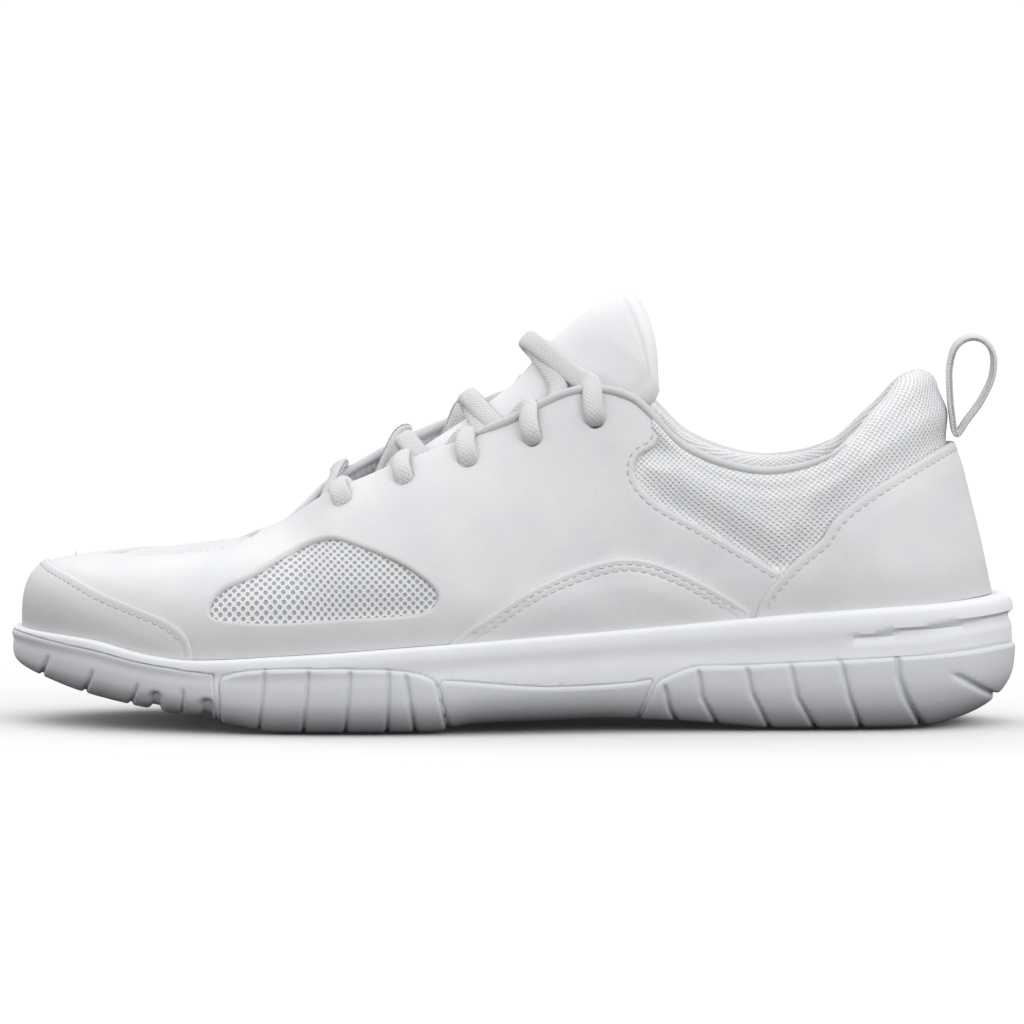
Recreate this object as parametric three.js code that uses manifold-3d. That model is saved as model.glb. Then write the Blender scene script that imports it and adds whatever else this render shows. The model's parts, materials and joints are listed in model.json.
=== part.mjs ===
// A left cheer shoe, in millimetres. The toe points to -X, the lateral side to -Y, +Z is up.
// The upper is a stack of sheets that share one outer skin. The skin is a closed loop of ribs:
// each rib climbs from the edge of the sole to the ridge of the vamp, or to the collar.
import * as THREE from "three";
import { mergeVertices } from "three/addons/utils/BufferGeometryUtils.js";
import Module from "manifold-3d";

const wasm = await Module();
wasm.setup();

// ---------- Driving dimensions ----------
const shoeLength = 265; // edge of the upper, toe to heel, with the sole's bumpers
const ballWidth = 95; // widest part of the sole
const heelStack = 34; // sole height at the back of the heel
const heelRise = 56; // heel tab above the sole
const overlayThick = 1.3;
const leatherThick = 1.2;
const backingThick = 0.9; // mesh, stiffeners and backers
const liningThick = 1;
const gap = 0.3; // between sheets that touch on the real shoe
const rubberThick = 3.5; // outsole
const grooveDepth = 2;
const grooveWidth = 1;
const channelDepth = 1.2; // of the groove along the side of the heel
const footbedGap = 0.6; // under the strobel board and the edge of the upper
const strobelThick = 1.6;
const sockThick = 4; // sockliner
const sockCup = 5; // how far the sockliner's rim stands over its middle at the heel
const laceRadius = 1.7;
const eyeletCount = 5;
const eyeletInset = 7.5; // lace hole below the edge of the eyestay
const eyeletClearance = 0.6;
const punchLength = 24; // of the tool that cuts a lace hole
const firstEyeletX = -46.6;
const eyeletPitch = 16.8;
const pipingRadius = 1.1;
const tongueCoverThick = 1.2;
const tongueFoamBase = 1.6;
const tongueFoamTop = 5;
const tongueLiningThick = 1;
const loopThick = 2; // pull loop webbing
const loopWidth = 11;
const ribsPerStation = 2;
const rows = 5; // rows of facets along a rib
const soleStep = 2; // the sole and the footbed use every second rib

// ---------- Pattern size ----------
// The outlines below are drawn at this size and graded to the driving dimensions.
const pattern = { length: 265, width: 95, stack: 34, rise: 56 };
const gradeX = shoeLength / pattern.length;
const gradeY = ballWidth / pattern.width;
const gradeSole = heelStack / pattern.stack;
const gradeRise = heelRise / pattern.rise;

// A smooth height curve through points [x, z], level past its ends.
function heightCurve(points) {
  const slope = points.map((_, i) => {
    const a = points[Math.max(i - 1, 0)];
    const b = points[Math.min(i + 1, points.length - 1)];
    return (b[1] - a[1]) / (b[0] - a[0]);
  });
  return (x) => {
    const last = points.length - 1;
    if (x <= points[0][0]) return points[0][1];
    if (x >= points[last][0]) return points[last][1];
    const i = points.findIndex((p) => p[0] > x) - 1;
    const span = points[i + 1][0] - points[i][0];
    const t = (x - points[i][0]) / span;
    const rise = points[i + 1][1] - points[i][1];
    const bendA = slope[i] * span - rise;
    const bendB = rise - slope[i + 1] * span;
    return points[i][1] + rise * t + t * (1 - t) * (bendA * (1 - t) + bendB * t);
  };
}

// Top edge of the sole, and the ground line of the tread, [x, z].
const edgePattern = heightCurve([
  [-131, 24.6], [-111, 23.3], [-97, 20.2], [-84, 18.9], [-62, 20.2],
  [-25, 22.9], [0, 24.6], [37, 27.3], [80, 31], [128, 34],
]);
const treadPattern = heightCurve([
  [-124, 12], [-113, 8.6], [-93, 4.8], [-79, 3], [-69, 1], [-62, 0], [-22, 0],
  [-12, 1.6], [6, 2.2], [26, 2.6], [44, 1.9], [58, 0.8], [67, 0], [107, 0], [114, 0.9], [121, 2.6],
]);
const edgeHeight = (x) => gradeSole * edgePattern(x / gradeX);
const treadHeight = (x) => gradeSole * Math.max(treadPattern(x / gradeX), 0);
const upperHeight = (x, z) => gradeSole * edgePattern(x) + gradeRise * (z - edgePattern(x));
const onUpper = ([x, z]) => [gradeX * x, upperHeight(x, z)];
const onSole = ([x, z]) => [gradeX * x, gradeSole * z];

// Rib stations from toe to heel: foot of the rib [x, y], top of the rib [x, y, z].
// Up to ridgeStations the lateral and medial ribs meet on the ridge of the vamp.
const ridgeStations = 5;
const toeStation = [[-131, 9], [-116, 7, 44.8]];
const heelStation = [[127.3, 0], [113, 0, 90]];
const lateralStations = [
  [[-126, -7], [-111, 6.5, 45.4]],
  [[-113, -23], [-103, 6, 46.4]],
  [[-93, -35], [-88, 5, 48.2]],
  [[-73, -41.5], [-73, 4.5, 50.4]],
  [[-58, -44.5], [-63, 4, 53.6]],
  [[-45, -45.7], [-50, -11, 62]],
  [[-25, -45], [-28, -17, 71.3]],
  [[0, -41.5], [-4, -20, 79.6]],
  [[22, -37.5], [18, -23.5, 88.4]],
  [[34, -35.5], [31, -26, 86]],
  [[50, -33.5], [47, -28.5, 70.8]],
  [[70, -32.5], [67, -29.5, 64.6]],
  [[90, -31.8], [85, -27.5, 69]],
  [[106, -29], [97, -21, 79.5]],
  [[119, -19.5], [107.5, -11, 88.3]],
];
const medialStations = [
  [[-126.5, 24.5], [-111, 6.5, 45.4]],
  [[-114, 37], [-103, 6, 46.4]],
  [[-94, 43.5], [-88, 5, 48.2]],
  [[-74, 46.5], [-73, 4.5, 50.4]],
  [[-60, 47], [-63, 4, 53.6]],
  [[-46, 45.5], [-50, 18, 64]],
  [[-25, 40.5], [-28, 21, 75.5]],
  [[0, 34], [-4, 22, 84]],
  [[22, 30], [18, 23.5, 90]],
  [[34, 29.5], [31, 25.5, 86.5]],
  [[50, 29.5], [47, 28, 71]],
  [[70, 30], [67, 28.5, 64.6]],
  [[90, 30], [85, 26.5, 69]],
  [[106, 28], [97, 20.5, 79.5]],
  [[119, 19], [107.5, 11, 88.3]],
];
// Shape of the rib at each station, toe to heel: the angle it has turned through at its top,
// its squareness, its roundness (0 straight, 1 a full arc), the collar padding at its top,
// and how far the sole flares outside the rib's foot and rolls in under it.
const shapes = [
  { turn: 90, square: 0.78, round: 1, pad: 0, flare: 1.8, roll: 7 },
  { turn: 90, square: 0.78, round: 1, pad: 0, flare: 1.8, roll: 6.5 },
  { turn: 90, square: 0.8, round: 1, pad: 0, flare: 2, roll: 5.5 },
  { turn: 90, square: 0.82, round: 1, pad: 0, flare: 2.2, roll: 4.5 },
  { turn: 90, square: 0.85, round: 1, pad: 0, flare: 2.4, roll: 4 },
  { turn: 88, square: 0.88, round: 1, pad: 0, flare: 2.5, roll: 4 },
  { turn: 68, square: 0.9, round: 1, pad: 0, flare: 2.5, roll: 4 },
  { turn: 60, square: 0.95, round: 1, pad: 0, flare: 2.3, roll: 4 },
  { turn: 55, square: 1, round: 1, pad: 0, flare: 2, roll: 4 },
  { turn: 48, square: 1, round: 0.9, pad: 0, flare: 2, roll: 4 },
  { turn: 44, square: 1, round: 0.8, pad: 1.2, flare: 2, roll: 4 },
  { turn: 40, square: 1, round: 0.7, pad: 4.5, flare: 2.5, roll: 4 },
  { turn: 40, square: 1, round: 0.7, pad: 6, flare: 3, roll: 4 },
  { turn: 40, square: 1, round: 0.6, pad: 6, flare: 3.2, roll: 4.5 },
  { turn: 35, square: 1, round: 0.45, pad: 6.5, flare: 3.6, roll: 6 },
  { turn: 30, square: 1, round: 0.3, pad: 6.5, flare: 4.4, roll: 9 },
  { turn: 30, square: 1, round: 0.2, pad: 6.5, flare: 5, roll: 12 },
];

// ---------- Solids ----------
const V = (x, y, z) => new THREE.Vector3(x, y, z);

function toSolid(geometry) {
  const bare = new THREE.BufferGeometry();
  bare.setAttribute("position", geometry.getAttribute("position"));
  bare.setIndex(geometry.index);
  const merged = mergeVertices(bare, 1e-4);
  const kept = [];
  const index = merged.index.array;
  for (let i = 0; i < index.length; i += 3) {
    const [a, b, c] = [index[i], index[i + 1], index[i + 2]];
    if (a !== b && b !== c && c !== a) kept.push(a, b, c);
  }
  const vertProperties = merged.attributes.position.array;
  const triVerts = new Uint32Array(kept);
  return new wasm.Manifold(new wasm.Mesh({ numProp: 3, vertProperties, triVerts }));
}

function facets(quads) {
  const flat = [];
  for (const [a, b, c, d] of quads) {
    for (const p of [a, b, c, a, c, d]) flat.push(p.x, p.y, p.z);
  }
  const made = new THREE.BufferGeometry();
  made.setAttribute("position", new THREE.Float32BufferAttribute(flat, 3));
  return toSolid(made);
}

// A right prism on a closed outline. "side" runs along Y on an [x, z] outline between two
// values of y; "plan" runs along Z on an [x, y] outline.
function prism(outline, low, high, view = "side") {
  const shape = new THREE.Shape(outline.map(([u, v]) => new THREE.Vector2(u, v)));
  const made = new THREE.ExtrudeGeometry(shape, { depth: high - low, bevelEnabled: false });
  made.translate(0, 0, low);
  if (view === "side") {
    made.scale(1, 1, -1);
    made.rotateX(Math.PI / 2);
    const p = made.getAttribute("position").array;
    for (let i = 0; i < p.length; i += 9) {
      for (let k = 0; k < 3; k++) [p[i + k], p[i + 3 + k]] = [p[i + 3 + k], p[i + k]];
    }
  }
  return toSolid(made);
}

// The outline moved outwards by d, corner by corner.
function grow(outline, d) {
  const area = outline.reduce((sum, p, i) => {
    const q = outline[(i + 1) % outline.length];
    return sum + p[0] * q[1] - q[0] * p[1];
  }, 0);
  const turn = Math.sign(area);
  return outline.map((p, i) => {
    const before = outline[(i + outline.length - 1) % outline.length];
    const after = outline[(i + 1) % outline.length];
    const a = new THREE.Vector2(p[0] - before[0], p[1] - before[1]).normalize();
    const b = new THREE.Vector2(after[0] - p[0], after[1] - p[1]).normalize();
    const out = new THREE.Vector2(a.y + b.y, -a.x - b.x).normalize();
    const stretch = Math.min(1 / Math.max(out.dot(new THREE.Vector2(a.y, -a.x)), 0.5), 2);
    return [p[0] + turn * d * stretch * out.x, p[1] + turn * d * stretch * out.y];
  });
}

function smooth(points, closed, steps) {
  const curve = new THREE.CatmullRomCurve3(points.map((p) => V(...p, 0)), closed, "centripetal");
  return curve.getPoints(steps).slice(0, closed ? steps : steps + 1).map((p) => [p.x, p.y]);
}

// ---------- The skin ----------
const perSide = (shapes.length - 1) * ribsPerStation;
const loop = 2 * perSide;
const stationRing = [toeStation, ...lateralStations, heelStation, ...medialStations.slice().reverse()];
const footRing = stationRing.map(([foot]) => V(gradeX * foot[0], gradeY * foot[1], 0));
const topRing = stationRing.map(([, top]) =>
  V(gradeX * top[0], gradeY * top[1], upperHeight(top[0], top[2])),
);
const footCurve = new THREE.CatmullRomCurve3(footRing, true, "centripetal");
const topCurve = new THREE.CatmullRomCurve3(topRing, true, "centripetal");
const ringAt = (i) => ((i % loop) + loop) % loop;
const stationOf = (i) => Math.min(ringAt(i), loop - ringAt(i)) / ribsPerStation;
const onRidge = (i) => stationOf(i) <= ridgeStations;

function shapeAt(i) {
  const at = stationOf(i);
  const a = Math.min(Math.floor(at), shapes.length - 2);
  const mixed = {};
  for (const key of Object.keys(shapes[0])) {
    mixed[key] = THREE.MathUtils.lerp(shapes[a][key], shapes[a + 1][key], at - a);
  }
  return mixed;
}

const feet = [];
const tops = [];
for (let i = 0; i < loop; i++) {
  const foot = footCurve.getPoint(i / loop);
  foot.z = edgeHeight(foot.x);
  feet.push(foot);
  const top = topCurve.getPoint(i / loop);
  if (onRidge(i)) top.add(topCurve.getPoint(ringAt(-i) / loop)).multiplyScalar(0.5);
  tops.push(top);
}

const skin = [];
for (let i = 0; i < loop; i++) {
  const shape = shapeAt(i);
  const turn = THREE.MathUtils.degToRad(shape.turn);
  const rib = [];
  for (let j = 0; j <= rows; j++) {
    const s = j / rows;
    const angle = s * turn;
    const endCos = Math.pow(Math.max(Math.cos(turn), 0), shape.square);
    const arcIn = (Math.pow(Math.max(Math.cos(angle), 0), shape.square) - endCos) / (1 - endCos);
    const arcUp = Math.pow(Math.sin(angle) / Math.sin(turn), shape.square);
    const across = THREE.MathUtils.lerp(1 - s, arcIn, shape.round);
    const up = THREE.MathUtils.lerp(s, arcUp, shape.round);
    const p = tops[i].clone().lerp(feet[i], across);
    p.z = THREE.MathUtils.lerp(feet[i].z, tops[i].z, up);
    rib.push(p);
  }
  skin.push(rib);
}

const outward = skin.map((rib, i) =>
  rib.map((p, j) => {
    const along = skin[ringAt(i + 1)][j].clone().sub(skin[ringAt(i - 1)][j]);
    const up = rib[Math.min(j + 1, rows)].clone().sub(rib[Math.max(j - 1, 0)]);
    const out = along.cross(up);
    if (j === 0) out.z = 0;
    return out.normalize();
  }),
);
for (let i = 0; i <= perSide; i++) {
  if (!onRidge(i)) continue;
  const shared = outward[i][rows].clone().add(outward[ringAt(-i)][rows]).normalize();
  outward[i][rows] = shared;
  outward[ringAt(-i)][rows] = shared;
}
const skinPoint = (i, j, depth) => {
  const at = ringAt(i);
  return skin[at][j].clone().addScaledVector(outward[at][j], -depth);
};

// Collar padding grows from nothing at mid height to its full depth at the collar.
function padding(i, j) {
  const s = j / rows;
  return shapeAt(i).pad * THREE.MathUtils.smoothstep(s, 0.3, 0.75);
}

// A closed sheet between two depths under the skin, over a range of ribs and rows.
function sheet(outerAt, innerAt, range = {}) {
  const { from = 0, to = loop, low = 0, high = rows } = range;
  const whole = to - from >= loop;
  const outer = (i, j) => skinPoint(i, j, outerAt(i, j));
  const inner = (i, j) => skinPoint(i, j, innerAt(i, j));
  const quads = [];
  for (let i = from; i < to; i++) {
    for (let j = low; j < high; j++) {
      quads.push([outer(i, j), outer(i + 1, j), outer(i + 1, j + 1), outer(i, j + 1)]);
      quads.push([inner(i, j), inner(i, j + 1), inner(i + 1, j + 1), inner(i + 1, j)]);
    }
    quads.push([outer(i, low), inner(i, low), inner(i + 1, low), outer(i + 1, low)]);
    const meets = high === rows && onRidge(i) && onRidge(i + 1);
    if (!meets) {
      quads.push([outer(i, high), outer(i + 1, high), inner(i + 1, high), inner(i, high)]);
    }
  }
  if (!whole) {
    for (let j = low; j < high; j++) {
      quads.push([outer(from, j), outer(from, j + 1), inner(from, j + 1), inner(from, j)]);
      quads.push([outer(to, j), inner(to, j), inner(to, j + 1), outer(to, j + 1)]);
    }
  }
  return facets(quads);
}

const depth = {};
depth.overlay = 0;
depth.leather = depth.overlay + overlayThick + gap;
depth.backing = depth.leather + leatherThick + gap;
depth.lining = depth.backing + backingThick + gap;
depth.inside = depth.lining + liningThick;
const flat = (d) => () => d;
const overlaySheet = sheet(flat(depth.overlay), flat(depth.overlay + overlayThick));
const leatherSheet = sheet(flat(depth.leather), flat(depth.leather + leatherThick));
const backingSheet = sheet(flat(depth.backing), flat(depth.backing + backingThick));
const liningSheet = sheet(
  (i, j) => depth.lining + padding(i, j),
  (i, j) => depth.inside + padding(i, j),
);

// ---------- Halves, and the outlines of the pieces ----------
const far = 200;
const ridgeLine = [[-far, 9], [-131, 9], [-116, 7], [-63, 4], [113, 0], [far, 0]].map(([x, y]) => [
  gradeX * x,
  gradeY * y,
]);
const halfPlan = (side) => {
  const edge = ridgeLine.map(([x, y]) => [x, y + (side * gap) / 2]);
  return side < 0 ? [[-far, -far], [far, -far], ...edge.reverse()] : [...edge, [far, far], [-far, far]];
};
const half = {
  lateral: prism(halfPlan(-1), -far, far, "plan"),
  medial: prism(halfPlan(1), -far, far, "plan"),
};
const sides = ["lateral", "medial"];
const through = (outline) => prism(outline, -far, far);

const toeCapLine = [[-127.5, 47], [-124, 43], [-117.7, 40.2], [-108.7, 36], [-99.4, 32.6], [-90.9, 29.2],
  [-86.8, 26], [-84.8, 22.1], [-83.7, 10]].map(onUpper);
const toeCapOutline = [[-far, 10], [-far, 60], ...toeCapLine];
const windowOutline = smooth([[-80, 31.4], [-78.4, 36.9], [-68.4, 42.6], [-55.1, 50.2], [-48, 51.7],
  [-41.9, 50.3], [-26.8, 43.4], [-19.6, 36.5], [-21.5, 32.8], [-45.6, 30.3], [-69.4, 29.3]]
  .map(onUpper), true, 15);
const archOutline = [[-16.4, 15], [-16.4, 24.2], [-7.2, 30.3], [5, 38], [14, 42], [23.3, 44.9],
  [30.5, 45.8], [38.4, 44.3], [47.7, 40.3], [56.7, 35.2], [62.5, 31.5], [62.5, 15]].map(onUpper);
const heelLine = [[63.6, 30], [65.7, 35.1], [70, 40.4], [75, 45.4], [81, 50.2], [84.5, 55.4],
  [94.6, 63.2], [105.5, 69.2], [116, 74], [125, 76]].map(onUpper);
const heelOutline = [[63.6, 15], ...heelLine, [far, 80], [far, 15]];
const collarWindow = smooth([[38.2, 75.7], [33.1, 72], [32.1, 68.6], [33.1, 65.8], [37.4, 61],
  [49.6, 53.7], [60.2, 47.6], [69.4, 42]].map(onUpper), false, 8);
const collarOutline = [...collarWindow, ...[[75, 45.4], [84.5, 55.4], [105.5, 69], [125, 76],
  [125, 110], [41, 110]].map(onUpper)];
const toeBoxPlan = smooth([[-108, 7], [-101, -6], [-88, -13], [-75, -13], [-68, 4], [-75, 22],
  [-88, 22], [-101, 18]].map(([x, y]) => [gradeX * x, gradeY * y]), true, 12);
const puffLine = [[-112, 60], [-108, 36], [-99, 27], [-96, 10]].map(onUpper);
const puffOutline = [[-far, 10], [-far, 60], ...puffLine];
const counterOutline = [[74, 15], [75, 36], [84, 46], [98, 56], [125, 60], [far, 60], [far, 15]]
  .map(onUpper);
const eyestayOutline = [[-60, 53], [-46, 52], [-30, 57], [-12, 64], [6, 69], [22, 72], [29, 74],
  [33, 100], [-64, 100], [-66, 56]].map(onUpper);

// ---------- The sole ----------
const soleAcross = 1; // extra facets across the tread and the footbed
// The wall of the sole from its top edge to the tread: share of the flare, share of the roll, and
// share of the wall's height.
const wall = [
  [0.3, 0, 1], [0.8, 0, 0.9], [1, 0, 0.48], [0.6, 0.06, 0.2], [0, 1, 0],
];

function footOutward(i) {
  const out = outward[ringAt(i)][0];
  return V(out.x, out.y, 0).normalize();
}

function wallPoint(i, [flareShare, rollShare, height], inset) {
  const { flare, roll } = shapeAt(i);
  const foot = feet[ringAt(i)];
  const out = flareShare * flare - rollShare * roll - inset;
  const p = foot.clone().addScaledVector(footOutward(i), out);
  const rim = edgeHeight(foot.x) - footbedGap;
  const rolled = foot.clone().addScaledVector(footOutward(i), -roll);
  const tread = treadHeight(rolled.x);
  p.z = THREE.MathUtils.lerp(tread, rim, height) + inset * (1 - height);
  return p;
}

// Each cross-section joins a lateral rib to the medial rib opposite it.
function soleBody(inset) {
  const section = (k) => {
    const left = wall.map((share) => wallPoint(k, share, inset));
    const right = wall.map((share) => wallPoint(-k, share, inset));
    const ring = [...left];
    const bridge = (a, b, height) => {
      for (let m = 1; m <= soleAcross; m++) {
        const p = a.clone().lerp(b, m / (soleAcross + 1));
        p.z = height(p.x);
        ring.push(p);
      }
    };
    const bottom = [left[left.length - 1], right[right.length - 1]];
    bridge(bottom[0], bottom[1], (x) => treadHeight(x) + inset);
    ring.push(...right.slice().reverse());
    bridge(right[0], left[0], (x) => edgeHeight(x) - footbedGap);
    return ring;
  };
  const quads = [];
  for (let k = 0; k < perSide; k += soleStep) {
    const a = section(k);
    const b = section(k + soleStep);
    a.forEach((p, n) => {
      const next = (n + 1) % a.length;
      quads.push([p, a[next], b[next], b[n]]);
    });
  }
  return facets(quads);
}

const soleWhole = soleBody(0);
const soleCore = soleBody(rubberThick);
const soleCoreClear = soleBody(rubberThick + gap);
const groovedCore = soleBody(grooveDepth);

const podOutlines = {
  outsole_toe: [[-far, -5], [-far, 21], [-131, 20.8], [-111, 19.6], [-98, 16.8], [-84, 15.4], [-78.5, 15],
    [-77, -5]],
  outsole_forefoot: [[-75.8, -5], [-76.8, 14.4], [-72, 16.2], [-64, 17.1], [-41, 17.3], [-32, 17],
    [-21, 15.3], [-15.8, -5]],
  outsole_midfoot: [[-14.4, -5], [-19.5, 15], [-10, 13.6], [5, 12.3], [17, 12.2], [33, 13.1], [37.4, 14],
    [27.5, 2], [26, -5]],
  outsole_heel: [[27.6, -5], [29, 2], [39, 13.8], [46.6, 16.8], [60, 17.4], [85, 18.6], [100, 19.4],
    [116, 20.2], [far, 21.2], [far, -5]],
};
const grooveLines = {
  outsole_toe: [[[-122.5, 22], [-125.5, 14]], [[-110.4, 18], [-113.5, 5]], [[-98.4, 15], [-101.5, 2]],
    [[-94, 12], [-94, 0]], [[-86, 13], [-88, 0]], [[-80.3, 11], [-80.3, 0]]],
  outsole_forefoot: [[[-65, 19], [-66.6, -2]], [[-53.5, 19], [-55, -2]], [[-42.6, 19], [-44, -2]],
    [[-32.6, 18], [-33, -2]], [[-28.4, 18], [-26, -2]]],
  outsole_midfoot: [[[26.6, 3.4], [28, -2]]],
  outsole_heel: [[[39.6, 13], [41, 6], [45, -2]], [[48.5, 15], [49.5, 9], [55, -2]],
    [[61, 18], [62.6, 10], [68, -2]], [[72.4, 19], [74.5, 9], [80, -2]], [[85.6, 20], [88.2, 9], [92, -2]],
    [[102.6, 19], [104, 10], [108.6, -2]], [[114.5, 16], [124.8, 9]]],
};

// A narrow slot along an open line.
function slot(line, width) {
  const left = [];
  const right = [];
  line.forEach((p, i) => {
    const a = line[Math.max(i - 1, 0)];
    const b = line[Math.min(i + 1, line.length - 1)];
    const along = new THREE.Vector2(b[0] - a[0], b[1] - a[1]).normalize();
    left.push([p[0] - (along.y * width) / 2, p[1] + (along.x * width) / 2]);
    right.unshift([p[0] + (along.y * width) / 2, p[1] - (along.x * width) / 2]);
  });
  return through([...left, ...right].reverse());
}

const rubber = soleWhole.subtract(soleCore);
const outsole = {};
let midsole = soleWhole;
for (const [name, outline] of Object.entries(podOutlines)) {
  const graded = outline.map(onSole);
  let pod = rubber.intersect(through(graded));
  for (const line of grooveLines[name]) {
    pod = pod.subtract(slot(line.map(onSole), grooveWidth).subtract(groovedCore));
  }
  outsole[name] = pod;
  midsole = midsole.subtract(through(grow(graded, gap)).subtract(soleCoreClear));
}
// A channel runs along the side of the heel, above the pods.
const channelOutline = [[80, 24], [133, 30.5], [150, 31], [150, 29], [133, 28.2]].map(onSole);
midsole = midsole.subtract(through(channelOutline).subtract(soleBody(channelDepth)));

// ---------- Footbed ----------
const lean = 0.4; // the lining leans in by this share of its height
const footbedAcross = 4; // facets from side to side

// A slab inside the lining, from one rib to the rib opposite it. Its rim rises by cup at the heel,
// and its top leans in as the lining does.
function footbed(clear, bottomLift, thick, cup) {
  const section = (k) => {
    const edge = (i, inset) => feet[ringAt(i)].clone().addScaledVector(footOutward(i), -inset);
    const cupHere = cup * THREE.MathUtils.smoothstep(k / perSide, 0.5, 0.8);
    const low = clear;
    const high = clear + lean * (thick + cupHere);
    const bottom = [];
    const top = [];
    for (let m = 0; m <= footbedAcross; m++) {
      const share = m / footbedAcross;
      const p = edge(k, low).lerp(edge(-k, low), share);
      const q = edge(k, high).lerp(edge(-k, high), share);
      const fromMiddle = k === perSide ? 1 : Math.abs(share - 0.5) * 2;
      const rim = cupHere * Math.pow(fromMiddle, 3);
      bottom.push(V(p.x, p.y, edgeHeight(p.x) + bottomLift));
      top.push(V(q.x, q.y, edgeHeight(q.x) + bottomLift + thick + rim));
    }
    return [...bottom, ...top.reverse()];
  };
  const quads = [];
  for (let k = 0; k < perSide; k += soleStep) {
    const p = section(k);
    const q = section(k + soleStep);
    p.forEach((_, n) => {
      const next = (n + 1) % p.length;
      quads.push([p[n], p[next], q[next], q[n]]);
    });
  }
  return facets(quads);
}

const strobelBoard = footbed(depth.inside + 2 * gap, footbedGap / 2, strobelThick, 0);
const sockLift = footbedGap / 2 + strobelThick + gap;
const sockliner = footbed(depth.inside + 3 * gap, sockLift, sockThick, sockCup);

// ---------- Lace holes ----------
function rimPlace(side, x) {
  const step = side === "lateral" ? 1 : -1;
  let k = ridgeStations * ribsPerStation;
  while (tops[ringAt(step * (k + 1))].x < x) k++;
  const a = tops[ringAt(step * k)];
  const b = tops[ringAt(step * (k + 1))];
  return { rib: step * k, next: step * (k + 1), share: (x - a.x) / (b.x - a.x) };
}

// The point at a given run down the rib from its top, and the outward direction there.
function belowRim(place, run) {
  const along = (i) => {
    let left = run;
    for (let j = rows; j > 0; j--) {
      const from = skinPoint(i, j, 0);
      const to = skinPoint(i, j - 1, 0);
      const step = from.distanceTo(to);
      if (step >= left) {
        const point = from.lerp(to, left / step);
        const out = outward[ringAt(i)][j].clone().lerp(outward[ringAt(i)][j - 1], left / step);
        return { point, out };
      }
      left -= step;
    }
    return { point: skinPoint(i, 0, 0), out: outward[ringAt(i)][0].clone() };
  };
  const a = along(place.rib);
  const b = along(place.next);
  const point = a.point.lerp(b.point, place.share);
  const out = a.out.lerp(b.out, place.share).normalize();
  return { point, out };
}

const eyeletX = (row) => gradeX * (firstEyeletX + row * eyeletPitch);
const eyelets = {};
for (const side of sides) {
  eyelets[side] = [];
  for (let n = 0; n < eyeletCount; n++) {
    eyelets[side].push(belowRim(rimPlace(side, eyeletX(n)), eyeletInset));
  }
}

function punch({ point, out }) {
  const hole = new THREE.CylinderGeometry(1, 1, punchLength, 6);
  hole.scale(laceRadius + eyeletClearance, 1, laceRadius + eyeletClearance);
  const turn = new THREE.Quaternion().setFromUnitVectors(V(0, 1, 0), out);
  hole.applyQuaternion(turn);
  hole.translate(point.x, point.y, point.z);
  return toSolid(hole);
}

const punched = (solid, side) => eyelets[side].reduce((left, e) => left.subtract(punch(e)), solid);

const pieces = {};

pieces.midsole = midsole;
pieces.outsole_toe = outsole.outsole_toe;
pieces.outsole_forefoot = outsole.outsole_forefoot;
pieces.outsole_midfoot = outsole.outsole_midfoot;
for (const side of sides) {
  pieces["outsole_heel_" + side] = outsole.outsole_heel.intersect(half[side]);
}
pieces.strobel_board = strobelBoard;
pieces.sockliner = sockliner;

// ---------- Lining, foam and stiffeners ----------
const liningSeam = gradeX * -10; // where the vamp lining ends and the collar linings begin
const acrossPlan = (from, to) => [[from, -far], [to, -far], [to, far], [from, far]];
const frontPlan = prism(acrossPlan(-far, liningSeam), -far, far, "plan");
const rearPlan = prism(acrossPlan(liningSeam + gap, far), -far, far, "plan");
let lined = liningSheet;
for (const side of sides) lined = punched(lined, side);
pieces.vamp_lining = lined.intersect(frontPlan);
for (const side of sides) {
  pieces["collar_lining_" + side] = lined.intersect(rearPlan).intersect(half[side]);
}
const firstPadded = 11 * ribsPerStation;
const foamRow = 3; // the collar foam reaches down to this row
pieces.collar_foam = sheet(
  flat(depth.lining),
  (i, j) => depth.lining + padding(i, j) - gap,
  { from: firstPadded, to: loop - firstPadded, low: foamRow, high: rows },
);
const counterPrism = through(counterOutline);
pieces.heel_counter = backingSheet.intersect(counterPrism);
pieces.toe_puff = backingSheet.intersect(through(puffOutline));

// ---------- Mesh and backers, in the layer under the leather ----------
const notPuff = through(grow(puffOutline, gap));
const meshMargin = 3; // the mesh runs on under the leather by this much
const windowMargin = 4; // and by this much round the side window
const toeBoxWide = prism(grow(toeBoxPlan, meshMargin), -far, far, "plan");
const notToeBox = prism(grow(toeBoxPlan, meshMargin + gap), -far, far, "plan");
const windowWide = through(grow(windowOutline, windowMargin));
const notWindow = through(grow(windowOutline, windowMargin + gap));
const collarWide = through(grow(collarOutline, meshMargin));
const notCollar = through(grow(collarOutline, meshMargin + gap));
const notCounter = through(grow(counterOutline, gap));
pieces.toe_box_mesh = backingSheet.intersect(toeBoxWide).subtract(notPuff);
for (const side of sides) {
  const backing = backingSheet.intersect(half[side]);
  pieces["side_mesh_" + side] = backing.intersect(windowWide).subtract(notToeBox).subtract(notPuff);
  pieces["collar_mesh_" + side] = backing.intersect(collarWide).subtract(notCounter);
  const strip = backing.intersect(through(eyestayOutline)).subtract(notWindow).subtract(notCollar)
    .subtract(notToeBox);
  pieces["eyestay_backer_" + side] = punched(strip, side);
}

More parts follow.
